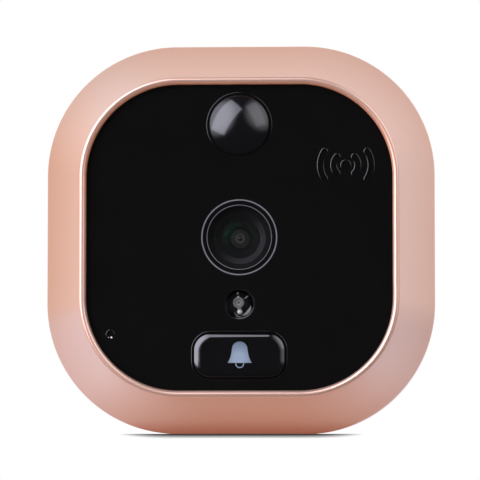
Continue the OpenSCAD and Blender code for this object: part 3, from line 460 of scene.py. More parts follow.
# Finishes of small pieces that have no slot of their own
ringInk = grainFinish("greyScreenInk", "#68696c", "#5f6063", (0.4, 0.5), 0.12, 0.004, 1.5, IOR=1.5)
irisBlack = grainFinish("blackenedStop", "#0b0b0b", "#080808", (0.7, 0.8), 0.1, 0.004, 1, IOR=1.3)
innerGlass = grainFinish("brownCoatedGlass", "#4a4641", "#403c38", (0.5, 0.6), 0.5, 0.001, 1.2, IOR=1.2)
irisMetal = grainFinish("greyStopRing", "#77746f", "#66635f", (0.4, 0.5), 0.1, 0.002, 0.6, IOR=1.5)
matteTin, paleTin = (grainFinish(*look, 0.15, 0.01, 0.5, IOR=1.5, Metallic=0.3) for look in (
    ("matteTinPlate", "#b4b1ab", "#98958f", (0.35, 0.5)),
    ("brightTinPlate", "#f6f2ec", "#e2ddd4", (0.3, 0.4))))

for name, node in nodes.items():
    node.data.materials.clear()
    node.data.materials.append(finishes[slotOf[name]])
print("materials on", len(nodes), "CAD nodes")


# Bezel

bezel = {"cornerR": 22.8, "wall": 1.8, "rear": 0.6, "chamfer": 0.4, "slopeFoot": 10.0, "slopeRun": 6.0,
         "rim": 17.2, "edgeRound": 0.8, "openU": 7.4, "beadR": 0.68, "beadRise": 0.48, "beadStart": 4,
         "footBack": (0.05, 0.06), "footUp": (0.03, 0.04), "lipRear": 16.4, "pocket": 5.5, "fillet": 0.3,
         "openGrowth": 0.7, "bossR": 2.8, "bossHoleR": 1.12, "bossSpot": 24.2, "bossRear": 3.0,
         "bossFront": 11.0, "bossHole": 8.6}
# Painted shade on the side of the bead that faces down, as shares of the bead's arc, and the height over
# which it changes sides
copper = {"outside": 0.4, "outsideEnd": 0.3, "insideStart": 0.375, "insideRun": 0.42, "reach": 30.0}


def buildBezel(b):
    # Closed section as (inset, depth): side wall, rounded edge, slope, bead, lip, pocket, inner slope
    box = place("bezel_frame")
    ratio = (b.rim - b.slopeFoot) / b.slopeRun
    slant = math.hypot(1, ratio)
    roundLevel = b.slopeFoot + b.edgeRound * (ratio - slant)
    tilt = math.degrees(math.atan2(1, -ratio))
    hollow = [b.slopeFoot + ratio * u - b.wall * slant for u in (b.pocket, b.wall)]
    # The bead's outer flank starts as steep as the slope, from a faint step at the slope's end
    bead = arc(b.openU - b.beadR, b.rim + b.beadRise - b.beadR, b.beadR, tilt - b.beadStart, 0, 28)
    foot = np.array([[b.slopeRun, b.rim], bead[0]]) - [b.footBack, b.footUp]
    lip = [[b.openU, b.lipRear], [b.pocket + b.fillet, b.lipRear], [b.pocket, b.lipRear - b.fillet],
           [b.pocket, hollow[0]], [b.wall, hollow[1]]]
    section = np.concatenate([[[b.wall, b.rear], [b.chamfer, b.rear], [0, b.rear + b.chamfer]],
                              arc(b.edgeRound, roundLevel, b.edgeRound, 180, tilt, 14), foot, bead, lip])
    polish = np.zeros(len(section))
    first = len(section) - len(bead) - len(lip)
    polish[first:first + len(bead) + 1] = 1
    inset = np.clip(section[:, 0] / b.slopeRun, 0, 1)
    run = np.linspace(0, 1, len(bead))
    outside = copper["outside"] * np.clip(1 - run / copper["outsideEnd"], 0, 1)
    inside = np.clip((run - copper["insideStart"]) / copper["insideRun"], 0, 1)
    outline = roundedOutline(box["w"], box["h"], b.cornerR, 48)
    shell = swept(section, outline)
    # The opening's corners are rounder than an even offset: the slope, the bead and the lip's front edge
    # draw in there with the inset
    growth = b.openGrowth * inset
    growth[1 - len(lip):] = 0
    wider = roundedOutline(box["w"], box["h"], b.cornerR + 1, 48)[0] - outline[0]
    shell[..., 0] += wider[:, :1] * growth
    shell[..., 2] += wider[:, 1:] * growth
    # Painted shade in copper where the bead faces down: on its inside at the top, on its outside at the
    # bottom
    upper = np.clip(0.5 + shell[:, :1, 2] / copper["reach"], 0, 1)
    flank = np.zeros(shell.shape[:2])
    flank[:, first:first + len(bead)] = inside * upper + outside * (1 - upper)
    flank[:, first + len(bead)] = upper[:, 0]
    marks = {"polish": polish + 0 * flank, "inset": inset + 0 * flank, "flank": flank}
    # Tubes for the cover's screws inside the four corners
    tube = [[b.bossHoleR, b.bossRear], [b.bossR, b.bossRear], [b.bossR, b.bossFront], [0, b.bossFront],
            [0, b.bossHole], [b.bossHoleR, b.bossHole]]
    bosses = [turned(tube, x * b.bossSpot, z * b.bossSpot, 32) for x in (-1, 1) for z in (-1, 1)]
    plain = np.zeros(sum(boss[..., 0].size for boss in bosses))
    marks = {label: np.append(values, plain) for label, values in marks.items()}
    return addPiece("bezelShell", [sheet(points, across=True) for points in (shell, *bosses)],
                    "bezel_metal", stands=["bezel_frame"], marks=marks)


buildBezel(named(bezel))
print("bezel built")


# Front panel details: edges of the holes, raised lips round the sound slots, printed rings

panel = place("front_panel")
trims = {"edgeR": 0.08, "lipR": 0.11, "sink": 0.3, "slotW": 1.0, "slotInnerR": 2.1, "slotOuterR": 4.4,
         "slotInnerAngle": 44, "slotOuterAngle": 33, "dotR": 0.85, "speakerSpot": (18.5, 12.5),
         "pirHoleR": 5.65, "micHoleR": 0.7, "micSpot": (-22.4, -16.8), "beadR": 0.19, "smallGlintR": 0.08,
         "largeGlintSpot": (-22.18, -17.37), "smallGlintSpot": (-22.7, -17.37), "film": 16.0, "filmT": 0.3,
         "filmGap": 0.01}


def slotLip(radius):
    # Section of a lip that is rounded outside and falls straight into its hole, as (inset, depth)
    face = panel["front"]
    return np.concatenate([[[0, face - trims["sink"]]], arc(0, face, radius, 90, 180, 8),
                           [[-radius, face - trims["sink"]]]])


def roundOutline(radius, count=96):
    # Circle with its outward direction at each point
    outward = heading(np.linspace(0, 2 * np.pi, count, endpoint=False))
    return radius * outward, outward


def ball(x, depth, z, radius):
    # Small sphere: a half circle turned once
    return turned(arc(0, depth, radius, -90, 90, 13), x, z, 24)


pirSpot = place("pir_dome")
buttonSpot = place("bell_legend")
lip = slotLip(trims["edgeR"])
pirHole, micHole = roundOutline(trims["pirHoleR"], 160), roundOutline(trims["micHoleR"], 64)
for name, hole, where in (("pirHoleEdge", pirHole, (pirSpot["x"], pirSpot["z"])),
                          ("micHoleEdge", micHole, trims["micSpot"])):
    addPiece(name, [sheet(swept(lip, hole, *where), across=True)], "button_gloss")
# Painted glints: two bright tin beads on the lower edge of the microphone hole, where the light glints
glintBeads = [ball(trims[spot][0], panel["front"], trims[spot][1], trims[size])
          for spot, size in (("largeGlintSpot", "beadR"), ("smallGlintSpot", "smallGlintR"))]
addPiece("micGlintBeads", [sheet(points) for points in glintBeads], "steel", paleTin)
slots = [roundOutline(trims["dotR"], 64)]
for flip in (0, np.pi):
    for middle, half in (("slotInnerR", "slotInnerAngle"), ("slotOuterR", "slotOuterAngle")):
        slots.append(slotOutline(trims[middle], trims[half], trims["slotW"], flip))
lip = slotLip(trims["lipR"])
addPiece("soundSlotLips", [sheet(swept(lip, slot, *trims["speakerSpot"]), across=True) for slot in slots],
         "button_gloss")


def film(outline, x, z):
    # Flat plug in a hole: a wall round its outline, with a face on both ends
    wall = swept([[trims["filmGap"], trims["film"] - trims["filmT"]], [trims["filmGap"], trims["film"]]],
                 outline, x, z)
    return [sheet(wall), lid(wall[:, 0]), lid(wall[:, 1])]


films = [surface for slot in slots for surface in film(slot, *trims["speakerSpot"])]
films += film(micHole, *trims["micSpot"])
addPiece("soundFilm", films, "panel_gloss")

rings = {"outer": (6.37, 6.605), "inner": (5.55, 5.65), "mask": (4.5, 5.58), "seat": (5.1, 5.64),
         "seatLevel": 16.15, "ink": 0.012, "sunk": 0.02}


def printedRing(name, inner, outer, face, slot, finish=None, z=0.0):
    # Flat ring of ink or film on a face
    low, high = face - rings["sunk"], face + rings["ink"]
    profile = [[inner, low], [outer, low], [outer, high], [inner, high]]
    return addPiece(name, [sheet(turned(profile, 0.0, z, 192), across=True)], slot, finish)


printedRing("lensMask", *rings["mask"], place("lens_barrel")["front"], "lens_black", irisBlack)
printedRing("outerRing", *rings["outer"], panel["front"], "legend_pale", ringInk)
printedRing("innerRing", *rings["inner"], panel["front"], "legend_pale", ringInk)
printedRing("domeSeat", *rings["seat"], rings["seatLevel"], "panel_gloss", z=pirSpot["z"])
print("panel details built")


# Motion sensor dome

dome = {"r": 5.2, "wall": 0.7, "h": 1.5, "flangeR": 6.55, "flangeT": 0.8, "shoulder": 0.12, "bevel": 0.02}


def buildDome(d):
    # Closed profile: inner cap of a sphere, skirt, flange, rounded shoulder, outer cap of the same sphere
    rear, front = pirSpot["rear"], pirSpot["front"]
    curve = (d.r ** 2 + d.h ** 2) / (2 * d.h)
    centre = front - curve
    inner = d.r - d.wall
    rim = math.degrees(math.acos((d.r - d.shoulder) / curve))
    innerRim = math.degrees(math.acos(inner / (curve - d.wall)))
    foot = front - d.h
    profile = np.concatenate([arc(0, centre, curve - d.wall, 90, innerRim, 24),
                              [[inner, rear], [d.flangeR, rear]],
                              [[d.flangeR, rear + d.flangeT], [d.r, rear + d.flangeT]],
                              [[d.r, foot - d.shoulder], [d.r - d.bevel, foot - d.bevel]],
                              arc(0, centre, curve, rim, 90, 64)])
    return addPiece("pirDome", [sheet(turned(profile, pirSpot["x"], pirSpot["z"], 160))], "dome_gloss",
                    stands=["pir_dome"])


buildDome(named(dome))
print("dome built")


# Camera lens behind its window

lens = {"headR": 5.2, "headT": 1.6, "bodyR": 4.4, "boreR": 2.4, "glassR": 3.5, "chamfer": 0.95,
        "seat": 12.6, "edge": 0.1, "glassCurveR": 10.0, "stopRear": 10.6, "stopEndR": 0.9, "gap": 0.02,
        "stopSeat": 0.005, "innerR": 1.65, "innerCurveR": 4.0, "innerRear": 12.1, "innerSkirt": 0.5,
        "irisR": 0.66, "irisTubeR": 0.17, "irisSunk": 0.05, "pupilR": 0.45, "pupilSunk": 0.1,
        "pupilCentre": 0.6, "pupilCurveR": 0.75}
# Steps of the stop: radius, depth
stopSteps = ((2.2, 12.62), (2.2, 12.45), (1.95, 12.45), (1.95, 12.3), (1.7, 12.3), (1.7, 11.0))


def groundCap(radius, curve, seat, skirt, count):
    # Profile of a glass, with the level of its top: flat back, wall up to the seat, part of a sphere on it
    sag = curve - math.sqrt(curve ** 2 - radius ** 2)
    half = math.degrees(math.asin(radius / curve))
    top = seat + sag
    return np.concatenate([[[0, seat - skirt], [radius, seat - skirt]],
                           arc(0, top - curve, curve, 90 - half, 90, count)]), top


def buildLens(c):
    # Every piece is a profile turned about the lens axis
    barrel = place("lens_barrel")
    front, rear = barrel["front"], barrel["rear"]
    profile = [[c.boreR, rear], [c.bodyR, rear], [c.bodyR, front - c.headT], [c.headR, front - c.headT],
               [c.headR, front - c.edge], [c.headR - c.edge, front], [c.glassR + c.chamfer, front],
               [c.glassR, front - c.chamfer], [c.glassR, c.seat], [c.boreR, c.seat]]
    addPiece("lensBarrel", [sheet(turned(profile, count=160), across=True)], "lens_black",
             stands=["lens_barrel"])
    cap, top = groundCap(c.glassR, c.glassCurveR, c.seat, 0, 24)
    addPiece("frontGlass", [sheet(turned(cap, count=160))], "lens_glass", stands=["front_glass"])
    # Stepped stop that narrows towards the inner glass
    bore, rim, level = c.boreR - c.gap, c.glassR - c.gap, c.seat + c.stopSeat
    steps = [(bore, c.stopRear), (bore, level), (rim, level), (rim, c.seat + c.gap), *stopSteps,
             (c.stopEndR, c.stopRear)]
    addPiece("lensStop", [sheet(turned(steps, count=128), across=True)], "lens_black", irisBlack,
             stands=["lens_baffle"])
    cap, top = groundCap(c.innerR, c.innerCurveR, c.innerRear, c.innerSkirt, 20)
    addPiece("innerLens", [sheet(turned(cap, count=96))], "lens_glass", innerGlass)
    ring = arc(c.irisR, top - c.irisSunk, c.irisTubeR, 0, 360, 25)[:-1]
    addPiece("irisRing", [sheet(turned(ring, count=96), across=True)], "lens_black", irisMetal)
    foot = top - c.pupilSunk
    pupil = np.concatenate([[[0, foot], [c.pupilR, foot]],
                            arc(0, top - c.pupilCentre, c.pupilCurveR, 60, 90, 10)])
    addPiece("pupilGlass", [sheet(turned(pupil, count=64))], "lens_glass", finishes["dome_gloss"])


buildLens(named(lens))
print("lens built")


# Night light

light = {"r": 2.5, "flangeR": 2.9, "flangeT": 1.0, "cup": (-0.18, 0.33), "cupR": 0.95, "cupLevel": 14.8,
         "cupDepth": 0.6, "cupBevel": 0.04, "cupFoot": (0.5, 0.3), "footShare": 0.8, "rimShare": 0.84,
         "ripple": 0.09, "halfWaves": 6, "floorR": 0.4, "chipR": 0.22, "chipShare": 0.9, "chipSunk": 0.02,
         "chipTop": 0.14, "post": (0.0, -1.3), "postR": 0.5, "postLevel": 14.7, "postFoot": (0.6, 0.3),
         "neckW": 0.34, "neckT": 0.3, "neckLevel": 14.3, "stemR": 0.3, "stemRear": 8.8,
         "sleeveR": (2.52, 2.62), "sleeveRear": 8.7, "sleeveFront": 15.7, "sleeveFloor": 0.1}
# Strips: thickness, and the least width on either side of their line
strips = {"t": 0.1, "least": 0.002}
# Painted reflections: tin strips along arcs that stand in for the crescents and the streak of light inside
# the clear body; middle across and up, radius, width, start and end angle, depth
paintedReflections = ((0, 0, 1.92, 0.5, -80, -5, 14.3), (0, 0, 2.4, 0.16, -118, -8, 14.1),
         (0, -1.25, 0.86, 0.14, 175, 300, 14.0), (0, 0, 2.3, 0.05, 145, 215, 14.2),
         (3.2, -1.2, 3.2, 0.2, 120, 138, 14.6))
# Painted glints: bright tin beads where the light glints inside the clear body; across, up, radius, depth
paintedGlints = ((-0.24, 1.29, 0.18, 14.8), (-0.33, 1.98, 0.22, 14.2))


def crescent(x, z, radius, width, start, end, depth):
    # Strip along an arc whose width falls to almost nothing at both ends as a half sine
    along = np.linspace(0, 1, 40)[:, None]
    angle = np.radians(start + along * (end - start))
    half = width / 2 * np.sin(np.pi * along) + strips["least"]
    reach = radius + half * np.array([[-1, 1, 1, -1]])
    level = depth - strips["t"] * np.array([0, 0, 1, 1])
    return spread(x + reach * np.cos(angle), level, z + reach * np.sin(angle))


def buildLight(d):
    # Turned body, cup, post and sleeve, a flat neck, and tin strips along arcs and tin beads that paint
    # reflections and glints in the clear body
    box = place("led_body")
    x, z, rear = box["x"], box["z"], box["rear"]
    profile = np.concatenate([[[0, rear], [d.flangeR, rear], [d.flangeR, rear + d.flangeT],
                               [d.r, rear + d.flangeT]], arc(0, box["front"] - d.r, d.r, 0, 90, 40)])
    addPiece("lightBody", [sheet(turned(profile, x, z, 128))], "clear_epoxy", stands=["led_body"])
    # Cup: stem, wall, flat rim, cone with a cosine ripple, and floor
    cupX, cupZ = x + d.cup[0], z + d.cup[1]
    top, low = d.cupLevel, d.cupLevel - d.cupDepth
    fall = np.linspace(0, 1, 25)
    rim = d.cupR * d.rimShare
    ripple = d.ripple * np.cos(fall * d.halfWaves * np.pi)
    cone = np.stack([rim + fall * (d.floorR - rim), top - fall * d.cupDepth + ripple], -1)
    stem = [[0, d.stemRear], [d.stemR, d.stemRear]]
    neck, shoulder = d.cupFoot
    wall = [[d.stemR, low - neck], [d.cupR * d.footShare, low - shoulder], [d.cupR, low],
            [d.cupR, top - d.cupBevel], [d.cupR - d.cupBevel, top]]
    cupShape = np.concatenate([stem, wall, cone, [[0, low]]])
    under, over = low - d.chipSunk, low + d.chipTop
    chip = turned([[0, under], [d.chipR, under], [d.chipR * d.chipShare, over], [0, over]], cupX, cupZ, 4)
    postX, postZ = x + d.post[0], z + d.post[1]
    neck, shoulder = d.postFoot
    postShape = np.concatenate([stem, [[d.stemR, low - neck], [d.postR, low - shoulder]],
                                arc(0, d.postLevel - d.postR, d.postR, 0, 90, 10)])
    # Neck: a flat bar from the cup to the post
    end = np.array([-1, 1])[:, None]
    barX = (cupX + postX) / 2 + end * (postX - cupX) / 2 + d.neckW * np.array([[-1, 1, 1, -1]])
    barZ = (cupZ + postZ) / 2 + end * (postZ - cupZ) / 2
    bar = spread(barX, d.neckLevel - d.neckT * np.array([0, 0, 1, 1]), barZ)
    dull = [sheet(turned(cupShape, cupX, cupZ, 64)), sheet(bar, along=False, across=True), lid(bar[0]),
            lid(bar[-1])]
    # Painted reflections, as strips in the cup's tin
    for across, rise, *strip in paintedReflections:
        dull.append(sheet(crescent(x + across, z + rise, *strip), along=False, across=True))
    addPiece("lightFrame", dull, "steel", matteTin, stands=["led_leads"])
    addPiece("lightChip", [sheet(chip)], "chip_black")
    bright = [sheet(turned(postShape, postX, postZ, 48))]
    # Painted glints, as bright beads beside the post
    for across, rise, radius, depth in paintedGlints:
        bright.append(sheet(ball(x + across, depth, z + rise, radius)))
    addPiece("lightPost", bright, "steel", paleTin)
    # Black sleeve round the light, with a floor: the floor is painted shade, a dark disc across the clear
    # body behind the cup
    inner, outer = d.sleeveR
    low, high, floor = d.sleeveRear, d.sleeveFront, d.sleeveRear + d.sleeveFloor
    sleeve = [[0, low], [outer, low], [outer, high], [inner, high], [inner, floor], [0, floor]]
    addPiece("lightSleeve", [sheet(turned(sleeve, x, z, 96))], "black_plastic")


buildLight(named(light))
print("night light built")


# Bell button

button = {"w": 15.8, "h": 7.6, "cornerR": 2.9, "crownR": 3.2, "crownTilt": 24, "edgeR": 0.24, "lipR": 0.08,
          "wall": 1.0, "topT": 1.6, "flange": 0.95, "flangeT": 0.8, "postR": 1.6, "postRear": 10.8,
          "postLap": 0.05, "gap": 0.35}
sign = {"rise": 0.015, "h": 4.6, "mouth": 0.9, "shoulder": 3.3, "waist": 1.34, "splay": 0.32,
        "flare": 0.44, "clapperR": 0.76, "clapperLap": 0.1, "clapperLine": 0.17, "shift": (0.1, 0.1)}


def buildButton(b):
    # A section carried round a rounded rectangle, with a flat face, and a turned post behind it
    cap = place("button_cap")
    x, z, face = buttonSpot["x"], cap["z"], cap["front"]
    rear = panel["rear"] - b.flangeT
    outline = roundedOutline(b.w, b.h, b.cornerR, 40)
    # Crown: a small round off the wall, then a wide arc that runs out level on the face
    tilt = math.radians(b.crownTilt)
    turn = np.linspace(tilt, 0, 20)
    inward = b.edgeR * (1 - math.sin(tilt))
    crown = np.stack([inward + b.crownR * (math.sin(tilt) - np.sin(turn)),
                      face - b.crownR * (1 - np.cos(turn))], -1)
    edgeLevel = crown[0, 1] - b.edgeR * math.cos(tilt)
    corner = arc(b.edgeR, edgeLevel, b.edgeR, 180, 90 + b.crownTilt, 8)[:-1]
    section = np.concatenate([[[b.wall, face - b.topT], [b.wall, rear], [-b.flange, rear],
                               [-b.flange, rear + b.flangeT], [0, rear + b.flangeT]], corner, crown])
    skin = swept(section, outline, x, z)
    top = face - b.topT + b.postLap
    post = turned([[0, b.postRear], [b.postR, b.postRear], [b.postR, top], [0, top]], x, z, 48)
    addPiece("buttonCap", [sheet(skin), lid(skin[:, -1]), lid(skin[::-1, 0]), sheet(post)],
             "button_gloss", body="button", stands=["button_cap"], crease=40)
    edgeOutline = roundedOutline(b.w + 2 * b.gap, b.h + 2 * b.gap, b.cornerR + b.gap, 40)
    addPiece("buttonHoleEdge", [sheet(swept(slotLip(b.lipR), edgeOutline, x, z), across=True)],
             "button_gloss")


def buildSign(s):
    # Bell: half width falls as a line and a cubic from the mouth to the shoulder, then a quarter ellipse
    cap = place("button_cap")
    x, z = buttonSpot["x"] + s.shift[0], cap["z"] + s.shift[1]
    low, high = cap["front"] - button["topT"] / 2, cap["front"] + s.rise
    fall = np.linspace(1, 0, 40)
    body = np.stack([s.waist + s.splay * fall + s.flare * fall ** 3,
                     s.shoulder - fall * (s.shoulder - s.mouth)], -1)
    turn = np.radians(np.linspace(0, 90, 30))[1:]
    crown = np.stack([s.waist * np.cos(turn), s.shoulder + (s.h - s.shoulder) * np.sin(turn)], -1)
    side = np.concatenate([body, crown])
    ring = np.concatenate([side, (side * [-1, 1])[::-1][1:]])
    base = z - s.h / 2
    front = spread(x + ring[:, 0], high, base + ring[:, 1])
    back = front + [0, high - low, 0]
    walls = np.stack([front, back], 1)
    # Clapper: a half ring below the mouth
    outer, inner = s.clapperR, s.clapperR - s.clapperLine
    lap = math.degrees(math.asin(s.clapperLap / outer))
    bow = np.radians(np.linspace(180 - lap, 360 + lap, 48))[:, None]
    reach = np.array([outer, outer, inner, inner])
    hoop = spread(x + reach * np.cos(bow), [low, high, high, low], base + outer + reach * np.sin(bow))
    addPiece("bellSign", [lid(front), lid(back[::-1]), sheet(walls),
                          sheet(hoop, along=False, across=True), lid(hoop[0]), lid(hoop[-1])],
             "legend_pale", body="button", stands=["bell_legend"])


buildButton(named(button))
buildSign(named(sign))
print("button built")


# Rubber boot and snap disc, which in the real unit change shape with the button

boot = {"rimGrow": 1.15, "rim": 0.8, "step": 0.8, "t": 0.5, "front": 13.2, "shelf": 12.1, "floor": 10.3,
        "floorInset": 1.6, "padR": 2.2, "pad": 10.0, "padLap": 0.1}


def buildBoot(b):
    # Tray as one section round the button's outline: rim, shelf, wall and floor, with a round pad under it
    outline = roundedOutline(button["w"], button["h"], button["cornerR"], 24)
    rise = np.linspace(0, 1, 9)[:, None]
    inset = b.step - b.t
    outerWall = np.array([[inset, b.shelf]]) * (1 - rise) + np.array([[inset, b.floor]]) * rise
    innerWall = outerWall[::-1] + [b.t, b.t]
    section = np.concatenate([[[-b.rimGrow, b.front], [-b.rimGrow - b.rim, b.front],
                               [-b.rimGrow - b.rim, b.shelf]], outerWall, [[b.floorInset, b.floor]]])
    inner = np.concatenate([[[b.floorInset, b.floor + b.t]], innerWall, [[-b.rimGrow, b.shelf + b.t]]])
    x, z = buttonSpot["x"], place("button_cap")["z"]
    under = swept(section, outline, x, z)
    over = swept(inner, outline, x, z)
    top = b.floor + b.padLap
    pad = turned([[0, b.pad], [b.padR, b.pad], [b.padR, top], [0, top]], x, z, 48)
    closing = np.stack([over[:, -1], under[:, 0]], 1)
    piece = addPiece("buttonBoot", [sheet(under), lid(under[:, -1]), sheet(over), lid(over[:, 0]),
                                    sheet(closing), sheet(pad)], "silicone", body=None,
                     stands=["button_boot"])
    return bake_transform(piece)


disc = {"t": 0.12}


def buildDisc(d):
    # Snap disc: part of a sphere, with a wall
    box = place("switch_dome")
    radius, rise = box["w"] / 2, box["front"] - box["rear"]
    curve = (radius ** 2 + rise ** 2) / (2 * rise)
    half = math.degrees(math.asin(radius / curve))
    outer = arc(0, box["front"] - curve, curve, 90 - half, 90, 16)
    inner = (outer - [0, d.t])[::-1]
    inner[:, 1] = np.maximum(inner[:, 1], box["rear"])
    profile = np.concatenate([outer, inner])[:-1]
    piece = addPiece("snapDisc", [sheet(turned(profile, box["x"], box["z"], 64), across=True)], "steel",
                     stands=["switch_dome"])
    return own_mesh(piece)


buildBoot(named(boot))
buildDisc(named(disc))
print("boot and snap disc built")


# Barrel with its thread, and the foam pad, seen from behind

thread = {"boreR": 4.5, "shankR": 6.0, "shankEnd": -8.0, "crestR": 5.95, "depth": 0.6, "pitch": 1.0,
          "turns": 20, "perTurn": 8, "flank": 2.4, "crest": 0.2, "bevel": 0.3, "shankStep": 0.05,
          "flangeR": 10.0, "flangeRear": 1.0, "flangeFront": 2.4, "flangeBevel": 0.15}


def buildBarrel(t):
    # Turned body, and the thread as a helix: each profile point falls one pitch for each turn, and the
    # groove is a clipped triangle wave
    end = place("threaded_barrel")["rear"]
    turn = np.linspace(0, 1, 97)[:, None]
    step = np.arange(-t.perTurn, t.perTurn * t.turns + 1)[None, :] / t.perTurn
    phase = step % 1
    root = np.clip(t.flank * (0.5 - np.abs(phase - 0.5)) - t.crest, 0, 1)
    lowest, shank, bevel = end + t.bevel, t.shankEnd, t.flangeBevel
    depth = np.clip(shank - (step + turn) * t.pitch, lowest, shank)
    radius = t.crestR - t.depth * root
    radius = np.where(depth >= shank, t.crestR, radius)
    angle = 2 * np.pi * turn
    helix = spread(radius * np.cos(angle), depth, radius * np.sin(angle))
    tail = t.crestR - t.depth
    body = turned([[t.crestR, shank], [t.shankR, shank + t.shankStep], [t.shankR, t.flangeRear],
                   [t.flangeR - bevel, t.flangeRear], [t.flangeR, t.flangeRear + bevel],
                   [t.flangeR, t.flangeFront], [t.boreR, t.flangeFront], [t.boreR, lowest],
                   [t.boreR + t.bevel, end], [tail - t.bevel, end], [tail, lowest], [t.crestR, lowest]])
    return addPiece("threadedBarrel", [sheet(helix, along=False), sheet(body)], "barrel_metal",
                    stands=["threaded_barrel"])


pad = {"cornerR": 15.2, "holeR": 7.5, "edgeR": 0.3}


def buildPad(p):
    # Foam pad: each section point is an inset from the outer outline or from the round hole, at its depth
    box = place("door_gasket")
    path, outward = roundedOutline(box["w"], box["h"], p.cornerR, 32)
    bearing = np.arctan2(path[:, 1], path[:, 0])
    hole = heading(bearing)
    low, high, r = box["rear"], box["front"], p.edgeR
    edge = np.concatenate([arc(r, low + r, r, 270, 180, 7), arc(r, high - r, r, 180, 90, 7)])
    outer = path[:, None] - outward[:, None] * edge[None, :, :1]
    inner = hole[:, None] * (p.holeR + edge[None, ::-1, :1])
    mix = np.linspace(0, 1, 8)[None, 1:-1, None]
    across = outer[:, -1:] * (1 - mix) + inner[:, :1] * mix
    back = inner[:, -1:] * (1 - mix) + outer[:, :1] * mix
    flat = np.concatenate([outer, across, inner, back], 1)
    flats = across.shape[1]
    depth = np.concatenate([edge[:, 1], np.full(flats, high), edge[::-1, 1], np.full(flats, low)])
    points = spread(flat[..., 0], depth, flat[..., 1])
    piece = addPiece("doorPad", [sheet(points, across=True)], "foam", stands=["door_gasket"])
    return piece


buildBarrel(named(thread))
buildPad(named(pad))
print("rear built")


# Studio: pale floor, a soft box on each side, white surround behind, dim room on the camera's side

# The paper's shadow near the unit is painted from how open the paper is, and so is its bounce colour
studio = {"floorZ": -34.0, "floorFold": -9.0, "floorFall": 14.0, "floorHalf": 420.0, "floorFront": 110.0,
          "floorBack": 420.0, "paper": "#e8e8e8", "contact": 2.3, "shadowSpan": (0.2, 0.95),
          "shadowDark": 0.04, "bounce": "#d28a6e", "room": 0.025, "behind": 1.1}
# Painted light on the floor, seen only in reflections: as dim as the room in front, warm in the middle,
# brighter and cooler aside
mirrored = {"dim": -25.0, "bright": -16.0, "level": 0.67, "left": 1.04, "right": 0.9, "middle": 2.0,
            "near": 5.0, "far": 42.0, "tint": (1.0, 0.7, 0.59, 1.0), "sideTint": (1.0, 1.08, 1.27, 1.0)}
# The surround by direction: dim to bright from front to back, plain to cool from left to right, and a warm
# wall at an azimuth and elevation with its outer and inner reach in degrees
surround = {"frontSpan": (-0.15, 0.25), "sideSpan": (-0.3, 0.9), "plain": (1.0, 0.97, 0.945, 1.0),
            "cool": (1.22, 1.28, 1.38, 1.0), "wall": (-104, 2, 48, 8), "wallFoot": (-0.12, 0.0),
            "warm": (1.0, 0.86, 0.72, 1.0)}
# Round glows: azimuth, elevation, outer and inner reach in degrees, brightness, colour
glows = {"left": (-48.5, 20, 42, 14, 2.4, "#eeeeff"), "right": (45, 25, 37, 6, 1.5, "#f4f4fc"),
         "high": (-104, 44, 36, 5, 0.34, "#6cceff")}
# Soft boxes: azimuth, elevation, distance, width, height, roll, brightness, colour
lamps = {"softLeft": (-32.8, 21.5, 520, 330, 660, -28.8, 2.75, "#eeeeff"),
         "softRight": (36.2, 26.6, 520, 215, 438, 17.4, 0.7, "#f4f4fc")}


def facing(azimuth, elevation):
    # Unit vector from the unit towards a direction; azimuth 0 is the camera's side
    a, e = math.radians(azimuth), math.radians(elevation)
    return Vector((math.sin(a) * math.cos(e), -math.cos(a) * math.cos(e), math.sin(e)))


def whitePaper(s, m):
    # White paper: white to the eye and in reflections, with a painted shadow where the unit stands close to
    # it and painted light that reflections see
    material = bpy.data.materials.new("whitePaper")
    add = startTree(material)
    rays = add("LightPath").outputs
    coords = add("TexCoord").outputs["Object"]
    split = add("SeparateXYZ", {0: coords}).outputs
    offset = add("Math", {0: split["X"], 1: m.middle * metre}, operation="SUBTRACT")
    reach = add("Math", {0: offset}, operation="ABSOLUTE")
    aside = add("MapRange", {"Value": reach, 1: m.near * metre, 2: m.far * metre},
                interpolation_type="SMOOTHSTEP")
    side = add("MapRange", {"Value": split["X"], 1: -m.far * metre, 2: m.far * metre, 3: m.left,
                            4: m.right})
    lit = add("Mix", {0: aside, 2: m.level, 3: side})
    tint = add("Mix", {0: aside, 6: m.tint, 7: m.sideTint}, data_type="RGBA")
    back = add("MapRange", {"Value": split["Y"], 1: m.dim * metre, 2: m.bright * metre, 3: s.room,
                            4: lit}, interpolation_type="SMOOTHSTEP")
    level = add("Mix", {0: rays["Is Camera Ray"], 2: back, 3: 1.0})
    seen = rays["Is Camera Ray"]
    for ray in ("Is Glossy Ray", "Is Transmission Ray"):
        seen = add("Math", {0: seen, 1: rays[ray]}, operation="MAXIMUM")
    # Painted shadow: darker where the unit closes the paper in
    clear = add("AmbientOcclusion", {"Distance": s.contact * metre}, samples=16).outputs["AO"]
    shadow = add("MapRange", {"Value": clear, 1: s.shadowSpan[0], 2: s.shadowSpan[1], 3: s.shadowDark})
    # Painted bounce light: close to the unit the paper takes on its colour in reflections
    bounce = add("Mix", {0: shadow, 6: s.bounce, 7: tint}, data_type="RGBA")
    tone = add("Mix", {0: rays["Is Camera Ray"], 6: bounce, 7: shadow}, data_type="RGBA")
    glow = add("Emission", {"Color": tone, "Strength": level})
    paper = add("BsdfDiffuse", {"Color": s.paper})
    mix = add("MixShader", {0: seen, 1: paper, 2: glow})
    add("OutputMaterial", {"Surface": mix})
    material.cycles.emission_sampling = "NONE"
    return material


